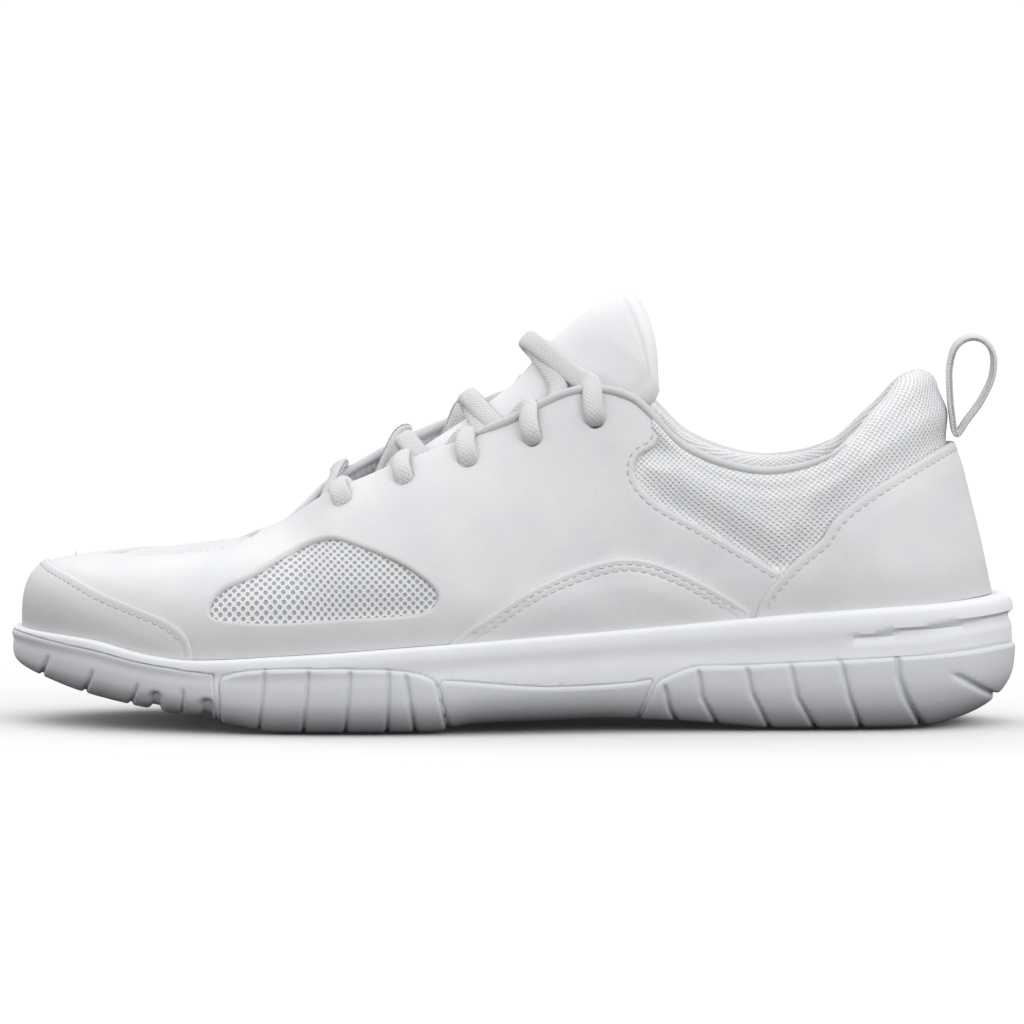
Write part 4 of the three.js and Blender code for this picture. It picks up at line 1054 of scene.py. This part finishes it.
def wall_point(u, w):
    """Point of the sole's wall: w is 0 under the upper and 1 at the edge of the tread."""
    st = station(u)
    foot = read_ring(FOOT_TABLE, u)
    flare, roll = SHAPE["flare"](st), SHAPE["roll"](st)
    flare_share, roll_share, tuck, height = np.moveaxis(read_off(w, WALL_W, WALL_TABLE), -1, 0)
    out = foot_out(u)
    p = foot + out * (flare_share * flare - roll_share * roll + tuck)[..., None]
    low = tread_height((foot - out * roll[..., None])[..., 0])
    p[..., 2] = low + (edge_height(foot[..., 0]) - low) * height
    return p


def sole_point(k, q):
    """q from -1.5 (lateral rim) by -0.5 and 0.5 (edges of the tread) to 1.5 (medial rim)."""
    left = wall_point(k, np.clip(q + 1.5, 0, 1))
    right = wall_point(-k, np.clip(1.5 - q, 0, 1))
    share = np.clip(q + 0.5, 0, 1)[..., None]
    p = left + (right - left) * share
    floor = np.abs(q) < 0.5
    p[..., 2] = np.where(floor, tread_height(p[..., 0]), p[..., 2])
    return p


def sole_out(k, q):
    """Outward unit normal of the sole's wall and tread."""
    lateral = q <= 0
    u = np.where(lateral, k, -k)
    w = np.where(lateral, q + 1.5, 1.5 - q)
    along = wall_point(u + 0.03, w) - wall_point(u - 0.03, w)
    down = wall_point(u, np.minimum(w + 0.01, 1)) - wall_point(u, np.maximum(w - 0.01, 0))
    out = unit(np.cross(down, along))
    x = sole_point(k, q)[..., 0]
    slope = tread_height(x + 0.5) - tread_height(x - 0.5)
    under = unit(np.stack([slope, 0 * x, -1 + 0 * x], axis=-1))
    share = smoothstep(w, 0.9, 1.0)[..., None]
    return unit(out * (1 - share) + under * share)


# Outlines of the outsole's pods in the side view, down to DEEP under the floor.
DEEP = -9
PODS = {
    "outsole_toe": [(-FAR, DEEP), (-FAR, 30), (-131, 23.6), (-111, 20.6), (-97, 17.6), (-84, 15.9),
                    (-78.6, 15.4), (-77, DEEP)],
    "outsole_forefoot": [(-76, DEEP), (-77.2, 13),
                         *smooth([(-76.4, 14.9), (-72, 16.2), (-64, 17.1), (-41, 17.3), (-32, 17),
                                  (-24, 15.8), (-20.8, 14.4)]), (-20, 12.6), (-15.4, DEEP)],
    "outsole_midfoot": [(-14.6, DEEP), (-19.3, 12.4),
                        *smooth([(-18.6, 14.3), (-10, 13.6), (5, 12.3), (17, 12.2), (30, 12.9),
                                 (36.6, 13.8)]), (36.4, 12.4), (27.3, DEEP)],
    "outsole_heel": [(28.2, DEEP), (37.4, 12.4),
                     *smooth([(39, 13.8), (46.6, 16.8), (60, 17.4), (85, 18.6), (100, 19.4),
                              (116, 20.2), (128, 21)]), (FAR, 21.2), (FAR, DEEP)],
}
# Grooves across each pod: points (x, z) from top to bottom, depth and half width in mm.
GROOVES = {
    "outsole_toe": [([(-122.5, 19), (-124.6, 13)], 0.9, 0.5), ([(-110.4, 16), (-113.4, 8)], 0.9, 0.5),
                    ([(-98.4, 13), (-101.2, 5)], 0.9, 0.5), ([(-94, 11), (-94.2, 0)], 2.6, 1.2),
                    ([(-86.6, 12), (-87.4, 0)], 0.9, 0.5), ([(-80.4, 9.5), (-80.6, 0)], 2.8, 1.3)],
    "outsole_forefoot": [([(-65, 18), (-66.6, 0)], 1.1, 0.6), ([(-53.5, 18), (-55, 0)], 1.1, 0.6),
                         ([(-42.6, 18), (-44, 0)], 1.1, 0.6), ([(-32.6, 18), (-33, 0)], 1.2, 0.6),
                         ([(-28.4, 17), (-27.2, 9), (-25.6, 0)], 1.2, 0.6)],
    "outsole_midfoot": [([(26.8, 3.4), (27.3, 0)], 1.4, 0.9)],
    "outsole_heel": [([(39.6, 13), (41, 6), (44.4, 0)], 1.1, 0.6),
                     ([(48.5, 17), (49.5, 9), (54.6, 0)], 1.1, 0.6),
                     ([(61, 18), (62.6, 10), (67.8, 0)], 1.1, 0.6),
                     ([(72.4, 19), (74.5, 9), (79.8, 0)], 1.1, 0.6),
                     ([(85.6, 20), (88.2, 9), (91.8, 0)], 1.1, 0.6),
                     ([(100.8, 21), (101.2, 14), (103.4, 8), (108, 0)], 1.5, 0.7),
                     ([(114.6, 15.4), (124.6, 9)], 1.3, 0.7)],
}
# How far each pod stands out from the sole's wall, in mm.
POD_PROUD = {"outsole_toe": 0.06, "outsole_forefoot": 0.75, "outsole_midfoot": 0.35, "outsole_heel": 0.75}
POD_BACK = 3.2
POD_CUTS = [0, 0.15, 0.5, 1.2]
GROOVE_CUTS = [-1.6, -0.8, -0.3, 0.3, 0.8, 1.6]  # in the groove's half widths from its line


def sole_field(outline):
    return lambda k, q: surface_distance(sole_point(k, q), sole_out(k, q), outline, SIDE_VIEW)


def groove_field(line):
    """Signed distance from a groove's line, which goes on straight past its ends."""
    points = np.array(line, float)
    if points[0, 1] > points[-1, 1]:
        points = points[::-1]
    slope = np.gradient(points[:, 0], points[:, 1])

    def field(k, q):
        p = sole_point(k, q)
        x = np.interp(p[:, 2], points[:, 1], points[:, 0])
        x += np.minimum(p[:, 2] - points[0, 1], 0) * slope[0]
        tilt = np.interp(p[:, 2], points[:, 1], slope)
        return (p[:, 0] - x) / np.sqrt(1 + tilt * tilt)

    return field


def groove_depth(k, q, grooves):
    total = 0 * k
    p = sole_point(k, q)
    for line, depth, half in grooves:
        top = max(z for _, z in line)
        fade = 1 - smoothstep(p[:, 2], top - 2.5, top)
        total = np.maximum(total, depth * fade * np.exp(-((groove_field(line)(k, q) / half) ** 2)))
    return total


SOLE_K = np.unique(np.concatenate([np.linspace(0, 1, 40), np.linspace(1, HEEL - 1, 300),
                                   np.linspace(HEEL - 1, HEEL, 40)]))
SOLE_Q = np.unique(np.concatenate([np.linspace(-1.5, -0.5, WALL_STEPS), np.linspace(-0.5, 0.5, FLOOR_STEPS),
                                   np.linspace(0.5, 1.5, WALL_STEPS)]))


def sole_grid(cuts):
    """The sole's grid with those cuts, its two sides joined where they meet at the toe and the heel,
    and a share that is 1 under the tread and fades out up the wall. Returns k, q, faces and share."""
    k, q, faces = clip(SOLE_K, SOLE_Q, cuts)
    end = (k < 1e-4) | (k > HEEL - 1e-4)
    wall = np.minimum(np.where(q < 0, q + 1.5, 1.5 - q), 1)
    first, faces = weld(np.stack([k, np.where(end, wall, q)], axis=1), faces)
    k, q = k[first], q[first]
    return k, q, faces, smoothstep(np.abs(q), 0.62, 0.5)


def sole_pod(pod, replaces):
    grooves, proud = GROOVES[pod], POD_PROUD[pod]
    field = sole_field(PODS[pod])
    cuts = [(groove_field(line), [share * half for share in GROOVE_CUTS], False) for line, _, half in grooves]
    k, q, faces, floor = sole_grid([(field, POD_CUTS, True), *cuts])
    base, out = sole_point(k, q), sole_out(k, q)
    soft = round_edge(field(k, q), 1.2, proud + 0.5)
    rise = (proud - soft) * (1 - floor) + np.minimum(-soft, 0) * floor - groove_depth(k, q, grooves)
    shell_piece(pod, base + out * rise[:, None], base - out * POD_BACK, faces, RUBBER, "shoe",
                "outsole_rubber", replaces)


sole_pod("outsole_toe", ["outsole_toe"])
sole_pod("outsole_forefoot", ["outsole_forefoot"])
sole_pod("outsole_midfoot", ["outsole_midfoot"])
sole_pod("outsole_heel", ["outsole_heel_lateral", "outsole_heel_medial"])

# Edges of the long groove along the side of the heel, (x, z).
CHANNEL_UPPER = [(87, 23.8), (104, 26.6), (129, 28.9)]
CHANNEL_LOWER = [(87, 23.3), (104, 24.6), (129, 26.3)]


def channel(x, z):
    """Depth of that groove, which starts at a point and ends at the back of the heel."""
    top = np.interp(x, *np.array(CHANNEL_UPPER, float).T)
    low = np.interp(x, *np.array(CHANNEL_LOWER, float).T)
    inside = np.minimum(smoothstep(z, low - 0.5, low + 0.5), 1 - smoothstep(z, top - 0.3, top + 0.5))
    return 1.3 * inside * smoothstep(x, 86, 92)


TOP_ACROSS = 8  # faces across the midsole's top
TOP_SUNK = 0.9  # mm from the sole's edge down to the midsole's top


def under_pods(k, q):
    return np.max([sole_field(outline)(k, q) for outline in PODS.values()], axis=0)


def build_midsole():
    k, q, faces, floor = sole_grid([(under_pods, [-0.5, 0, 0.5], False)])
    base, out = sole_point(k, q), sole_out(k, q)
    covered = smoothstep(under_pods(k, q), -0.3, 0.6)
    sunk = covered * 1.4 + channel(base[:, 0], base[:, 2]) + floor * (1 - covered)
    outer = base - out * sunk[:, None]
    directed = {(f[i - 1], f[i]) for f in faces for i in range(len(f))}
    rim = sorted({v for a, b in directed if (b, a) not in directed for v in (a, b)})
    points = list(outer)
    lateral = {round(float(k[i]), 4): i for i in rim if q[i] < 0}
    medial = {round(float(k[i]), 4): i for i in rim if q[i] >= 0}
    rows = []
    for at in sorted(set(lateral) | set(medial)):
        a, b = lateral.get(at, medial.get(at)), medial.get(at, lateral.get(at))
        row = [a]
        for m in range(1, TOP_ACROSS):
            p = outer[a] + (outer[b] - outer[a]) * m / TOP_ACROSS
            p[2] = edge_height(p[0]) - TOP_SUNK
            points.append(p)
            row.append(len(points) - 1)
        rows.append(row + [b])
    for r0, r1 in zip(rows[:-1], rows[1:]):
        for m in range(TOP_ACROSS):
            face = [r0[m], r0[m + 1], r1[m + 1], r1[m]]
            face = [v for i, v in enumerate(face) if v != face[i - 1]]
            if len(face) > 2:
                faces.append(face[::-1])
    add_piece("midsole", points, faces, MIDSOLE, "shoe", "midsole_foam", ["midsole"])


build_midsole()


# ---------- Tongue ----------
CREST = [(-72, 42.5), (-63, 45), (-54, 50), (-40, 59.5), (-25, 70.5), (-10, 80.5), (2, 90), (9, 98),
         (20.9, 107.5), (31.5, 113.5)]
TIP_LIFT = 1.4  # mm that the tongue's tip stands above the crest line
crest_points = [(x, 2 * (1 - i / len(CREST)), z) for i, (x, z) in enumerate(CREST)]
crest_line, crest_run = even(smooth(crest_points, steps=24), 0.4)
tongue_width = height_curve([(0, 11), (0.15, 12), (0.4, 13), (0.7, 14), (0.85, 17), (1, 18.5)])
tongue_drop = height_curve([(0, 3.5), (0.15, 7), (0.4, 17), (0.68, 22), (0.84, 28), (1, 27)])
tongue_reach = height_curve([(0, 70), (0.8, 88), (0.92, 90), (1, 80)])


def along_crest(a):
    return read_off(np.asarray(a, float) * crest_run[-1], crest_run, crest_line)


def tongue_point(a, b):
    """a runs up the tongue and b from its lateral edge (-1) over its crest to its medial edge (1)."""
    a, b = np.broadcast_arrays(np.asarray(a, float), np.asarray(b, float))
    p = along_crest(a)
    p[..., 2] += TIP_LIFT * smoothstep(a, 0.75, 1)
    tangent = unit(along_crest(np.minimum(a + 0.01, 1)) - along_crest(np.maximum(a - 0.01, 0)))
    down = unit(np.stack([tangent[..., 2], 0 * a, -tangent[..., 0]], axis=-1))
    angle = np.radians(tongue_reach(a)) * b
    p = p + down * (tongue_drop(a) * (1 - np.cos(angle)))[..., None]
    p[..., 1] += tongue_width(a) * np.sin(angle)
    return p


def tongue_out(a, b):
    along = tongue_point(np.minimum(a + 0.01, 1), b) - tongue_point(np.maximum(a - 0.01, 0), b)
    across = tongue_point(a, b + 0.01) - tongue_point(a, b - 0.01)
    return unit(np.cross(along, across))


TONGUE_BAND = 3.2  # width in mm of the rolled band along the tongue's edges, inside its seam
TONGUE_SIDE = 24  # mm from the tongue's crest to its side edge


def tongue_thick(a):
    return 2.6 + 5.2 * smoothstep(a, 0.2, 0.75)


def rounded(near, radius):
    """A quarter circle's height, from 0 at the edge to 1 at that radius from it."""
    return np.sqrt(np.clip(1 - (1 - np.clip(near / radius, 0, 1)) ** 2, 0, 1))


def pillow(name, at, thick, span, rows, cols, seam_depth, bulge, *placing):
    """A padded closed form over a span of the tongue, thin at its rim and crowned between."""
    a, b = grid(np.linspace(*span, rows), np.linspace(-1, 1, cols))
    corner = 0.055 * np.abs(b) ** 5
    used = np.clip(a - corner * smoothstep(a, 0.8, 1), 0, 1)
    base, out = at(used, b), tongue_out(used, b)
    near = np.minimum((1 - np.abs(b)) * TONGUE_SIDE, (1 - a) * crest_run[-1] + 1e-6)
    crown = bulge * smoothstep(near, 0, 16)
    seam = groove(near, TONGUE_BAND, 0.5, seam_depth)
    middle = thick(used) * 0.5
    half = middle * rounded(near, 3.2)
    outer = base - out * (middle - half - crown + seam)[:, None]
    inner = base - out * (middle + half + 0.3 * crown)[:, None]
    edge = np.exp(-((near - TONGUE_BAND) / 0.8) ** 2) * (seam_depth > 0)
    return shell_piece(name, outer, inner, grid_faces(rows, cols), *placing, sharp=70, edge=edge,
                       lay=np.stack([b * TONGUE_SIDE, a * crest_run[-1], 0 * a], axis=1))


tongue_pad = pillow("tongue_pad", tongue_point, tongue_thick, (0, 1), 190, 80, 0.45, 1.0, TONGUE_LEATHER,
                    "tongue", "upper_leather", ["tongue_cover", "tongue_foam", "tongue_binding"])


def inner_tongue(a, b):
    return tongue_point(a, b * 0.93) - tongue_out(a, b * 0.93) * (tongue_thick(a) - 0.2)[..., None]


pillow("tongue_lining", inner_tongue, lambda a: 1.2 + 0 * a, (0.02, 0.975), 120, 50, 0, 0.1, LINING,
       "tongue", "lining_fabric", ["tongue_lining"])


# ---------- Cords ----------
def sweep(name, line, normals, width, thick, material, body, slot, replaces=(), power=2.6, sides=16,
          closed=False, taper=None):
    """A flat-oval cord along a line; each normal points through its thin side. A higher power makes
    its section squarer, and taper scales it along the line."""
    line = np.asarray(line, float)
    count = len(line)
    if closed:
        along = unit(np.roll(line, -1, axis=0) - np.roll(line, 1, axis=0))
    else:
        along = unit(np.gradient(line, axis=0))
    out = unit(normals - along * np.sum(normals * along, axis=1, keepdims=True))
    side = np.cross(along, out)
    angle = np.linspace(0, 2 * math.pi, sides, endpoint=False)
    across, up = (np.sign(wave) * np.abs(wave) ** (2 / power) * size / 2
                  for wave, size in ((np.cos(angle), width), (np.sin(angle), thick)))
    size = np.ones(count) if taper is None else taper
    points = (line[:, None] + side[:, None] * (across * size[:, None])[..., None]
              + out[:, None] * (up * size[:, None])[..., None]).reshape(-1, 3)
    section = np.stack([across, up], axis=1)
    round_section = run_of(np.vstack([section, section[:1]]))[1:]
    lay = np.stack([np.repeat(run_of(line), sides), np.tile(round_section, count),
                    np.zeros(count * sides)], axis=1)
    faces = []
    for k in range(count if closed else count - 1):
        nxt = (k + 1) % count
        for n in range(sides):
            m = (n + 1) % sides
            faces.append([k * sides + n, k * sides + m, nxt * sides + m, nxt * sides + n])
    if not closed:
        faces.append(list(reversed(range(sides))))
        faces.append([(count - 1) * sides + n for n in range(sides)])
    return add_piece(name, points, faces, material, body, slot, replaces, sharp=60, lay=lay)


PIPING_FROM, PIPING_TO = 7.7, 13.3  # stations
PIPING_SIZE = 2.6
PIPING_DEPTH = 0.9
for side, way in SIDES.items():
    u = way * np.linspace(PIPING_FROM, PIPING_TO, 220)
    st = station(u)
    fade = np.clip(0.35 + 0.65 * (1 - smoothstep(st, PIPING_TO - 1.1, PIPING_TO)), 0, 1)
    fade = fade * (0.5 + 0.5 * smoothstep(st, PIPING_FROM, PIPING_FROM + 0.3))
    sweep("collar_piping_" + side, place(u, 1 + ROLL * 0.28 + 0 * u, PIPING_DEPTH), outward(u, 1 + 0 * u),
          PIPING_SIZE, PIPING_SIZE, OVERLAY, "shoe", "upper_leather",
          ["collar_piping"] if side == "lateral" else (), power=2.0, sides=12, taper=fade)

# The lace: one flat cord, from inside the top hole of one side down to the lowest holes and back up.
LACE_WIDTH = 5.4
LACE_THICK = 2.6
LACE_LIFT = LACE_THICK / 2 + 0.25  # from a surface to the lace's middle
LACE_STEP = 0.9


def lace_at_hole(side, row):
    """The lace's points and thin-side directions from over the rim down through a hole and back
    under the rim."""
    u, s = below_rim(side, hole_x(row), HOLE_INSET)
    above = below_rim(side, hole_x(row), 3.4)
    inside = below_rim(side, hole_x(row), 2.5)
    hole, out = skin(u, s), outward(u, s)
    down = unit(skin(u, s - 0.03) - hole)
    points = [
        place(u, 1 + 0.35 * ROLL, LEATHER_DEPTH - LACE_LIFT - 0.5),
        place(*above, LEATHER_DEPTH - LACE_LIFT - 0.35),
        place(u, s, LEATHER_DEPTH - LACE_LIFT * 0.72) - down * 0.6,
        hole - out * 3.2 + down * 0.1,
        place(u, s, INSIDE + LACE_LIFT + 0.6) - down * 0.8,
        place(*inside, INSIDE + LACE_LIFT + 0.9),
    ]
    normals = [outward(u, 1.0), outward(*above), unit(out + 0.6 * down), down, unit(down * 0.5 - out), -out]
    return points, normals


def over_tongue(x, b, lift):
    """Over the tongue, b of the way round, in the cross-section whose crest is at x."""
    a = np.linspace(0, 1, 400)
    at = np.interp(x, along_crest(a)[:, 0], a)
    out = tongue_out(at, np.float64(b))
    return tongue_point(at, np.float64(b)) + out * lift, out


LACE_FLANK = 0.62  # how far round the tongue a strand comes down beside its crest


def lace_crossing(row, upper_side, floor):
    """The lace over the tongue between two rows of holes. floor is 1 where it lies on the other strand."""
    flank = -SIDES[upper_side] * LACE_FLANK
    lift = LACE_LIFT + 1.6 + floor * (LACE_THICK + 0.3)
    picks = [over_tongue(hole_x(row + 0.5) - 1.5, flank, LACE_LIFT + 1.6),
             over_tongue(hole_x(row + 0.34) - 1.5, 0.0, lift),
             over_tongue(hole_x(row + 0.18) - 1.5, -flank, LACE_LIFT + 1.2)]
    return [p for p, _ in picks], [n for _, n in picks]


def lace_strand(top, floor_of):
    """One strand from its top hole down, changing sides at each row."""
    points, normals, side = [], [], top
    for row in reversed(range(HOLES)):
        p, n = lace_at_hole(side, row)
        points += p[::-1]
        normals += n[::-1]
        if row:
            p, n = lace_crossing(row - 1, side, floor_of(row - 1))
            points += p
            normals += n
        side = "medial" if side == "lateral" else "lateral"
    return points, normals


def lace_tail(side):
    """The end tucked inside the shoe, from its tip up to the top hole."""
    places = [below_rim(side, hole_x(HOLES - 1), run) for run in (32, 24, 16)]
    return [place(a, b, INSIDE + LACE_LIFT + 1.2) for a, b in places], [-outward(a, b) for a, b in places]


def lace_route():
    strands = lace_strand("lateral", lambda n: n % 2), lace_strand("medial", lambda n: (n + 1) % 2)
    bar = over_tongue(FIRST_HOLE_X - 2.5, 0.0, LACE_LIFT + 1.4)
    tails = [lace_tail(side) for side in SIDES]
    points, normals = (np.array([*tails[0][n], *strands[0][n][1:], bar[n], *strands[1][n][:0:-1],
                                 *tails[1][n][::-1]]) for n in (0, 1))
    for i in range(1, len(normals)):
        if normals[i] @ normals[i - 1] < 0:
            normals[i:] *= -1
    t = np.arange(0, len(points) - 1 + 1e-9, 0.1)
    turn = unit(read_off(t, np.arange(len(points)), normals))
    both, _ = even(np.hstack([catmull(points, t), turn]), LACE_STEP)
    return both[:, :3], unit(both[:, 3:])


sweep("shoelace", *lace_route(), LACE_WIDTH, LACE_THICK, LACE, "shoe", "lace", ["shoelace"])

# ---------- Pull loop ----------
LOOP = [(117.4, 76.1), (116.2, 81.4), (115.6, 88), (115.6, 94), (117.3, 99.4), (120.9, 101.6),
        (124.6, 100.8), (127, 97.4), (126.9, 91.6), (124, 85), (120.4, 80)]  # (x, z)
LOOP_WIDTH, LOOP_THICK = 10.5, 1.7
loop_flat = smooth(LOOP, True, 12)
loop_line = np.stack([loop_flat[:, 0], 0 * loop_flat[:, 0], loop_flat[:, 1]], axis=1)
loop_way = unit(np.roll(loop_line, -1, axis=0) - np.roll(loop_line, 1, axis=0))
loop_turn = np.cross(loop_way, [0, 1, 0])
sweep("pull_loop", loop_line, loop_turn, LOOP_WIDTH, LOOP_THICK, WEBBING, "pull_loop", "webbing",
      ["pull_loop"], power=5, sides=24, closed=True)


# ---------- Footbed ----------
SOCK_LIFT, SOCK_THICK, SOCK_CUP = 2.2, 4.0, 5.0
SOCK_ROWS, SOCK_COLS = 130, 41
BALL_X = -45


def build_footbed():
    """The sockliner: cupped round the heel, pressed down a little under the ball of the foot."""
    k, b = grid(np.linspace(0.15, HEEL - 0.1, SOCK_ROWS), np.linspace(-1, 1, SOCK_COLS))
    cup = SOCK_CUP * smoothstep(k / HEEL, 0.5, 0.8)
    inset = INSIDE + 0.9 + 0.4 * (SOCK_THICK + cup)
    left = read_ring(FOOT_TABLE, k) - foot_out(k) * inset[:, None]
    right = read_ring(FOOT_TABLE, -k) - foot_out(-k) * inset[:, None]
    p = left + (right - left) * ((b + 1) / 2)[:, None]
    rim = rounded(1 - np.abs(b), 1 / 14)
    p[:, 2] = edge_height(p[:, 0]) + SOCK_LIFT + SOCK_THICK * (0.45 + 0.55 * rim) + cup * np.abs(b) ** 3
    p[:, 2] += 0.25 * softness(p, 34, 21) - 0.8 * np.exp(-(((p[:, 0] - BALL_X) / 22) ** 2)) * (1 - b * b)
    low = p.copy()
    low[:, 2] = edge_height(p[:, 0]) + SOCK_LIFT + 0.2
    piece = shell_piece("footbed", p, low, grid_faces(SOCK_ROWS, SOCK_COLS), FOOTBED, "sockliner", "foam",
                        ["sockliner"], lay=np.stack([p[:, 1], p[:, 0], 0 * k], axis=1))


build_footbed()


# ---------- CAD nodes that stay ----------
def repaint(node, material):
    """Gives a CAD node another material. Its shape stays the CAD's."""
    for holder in frame["nodes"][node].material_slots:
        holder.link = "OBJECT"
        holder.material = material


for side in SIDES:
    repaint("lace_tip_" + side, TIP)
repaint("strobel_board", BOARD)


# ---------- Floor and light, in metres ----------
FLOOR_REACH = 30
FLOOR_DROP = 0.0006
FLOOR_NEAR, FLOOR_FAR = (0.35, 0.84), (2.5, 0.97)  # distance from the shoe's middle, and tone; the floor is painted darker near the shoe and lighter far off, as painted shade and painted light


def add_floor():
    """A pale floor that takes the shoe's shadow but throws no light back up, as on a light table; its colour
    is painted darker near the shoe and lighter far off, standing in for how the light falls.
    """
    mesh = bpy.data.meshes.new("floor")
    mesh.from_pydata([(x * FLOOR_REACH, y * FLOOR_REACH, 0) for x, y in ((-1, -1), (1, -1), (1, 1), (-1, 1))],
                     [], [(0, 1, 2, 3)])
    floor = bpy.data.objects.new("floor", mesh)
    bpy.context.collection.objects.link(floor)
    t = Tree("floor_painted_falloff", 0.9, spec=0.0)
    away = t.add("VectorMath", out=1, attrs={"operation": "LENGTH"}, i0=t.where())
    # painted light and shade: the floor's tone rises from FLOOR_NEAR to FLOOR_FAR with distance from the shoe
    t.colour(t.mix(t.ramp(away, FLOOR_NEAR[0], FLOOR_FAR[0]), grey(FLOOR_NEAR[1]), grey(FLOOR_FAR[1])))
    mesh.materials.append(t.mat)
    floor.location.z = -FLOOR_DROP
    floor.visible_diffuse = False
    floor.visible_glossy = False


def add_world(strength, low):
    """Soft white light from above the horizon, with only a little from below it."""
    world = bpy.data.worlds.new("studio")
    world.use_nodes = True
    bpy.context.scene.world = world
    nodes, links = world.node_tree.nodes, world.node_tree.links
    where = nodes.new("ShaderNodeTexCoord")
    split = nodes.new("ShaderNodeSeparateXYZ")
    ramp = nodes.new("ShaderNodeMapRange")
    links.new(where.outputs["Generated"], split.inputs[0])
    links.new(split.outputs[2], ramp.inputs["Value"])
    for socket, value in zip((1, 2, 3, 4), (-0.25, 0.15, low, strength)):
        ramp.inputs[socket].default_value = value
    background = nodes["Background"]
    background.inputs["Color"].default_value = (1, 1, 1, 1)
    links.new(ramp.outputs[0], background.inputs["Strength"])


add_floor()
add_world(1.06, 0.02)
add_area("key", (1.1, -1.9, 0.9), (0.02, 0, 0.04), 1.2, 13)
add_area("rim", (-0.6, 1.2, 1.5), (0, 0, 0.05), 1.0, 5)
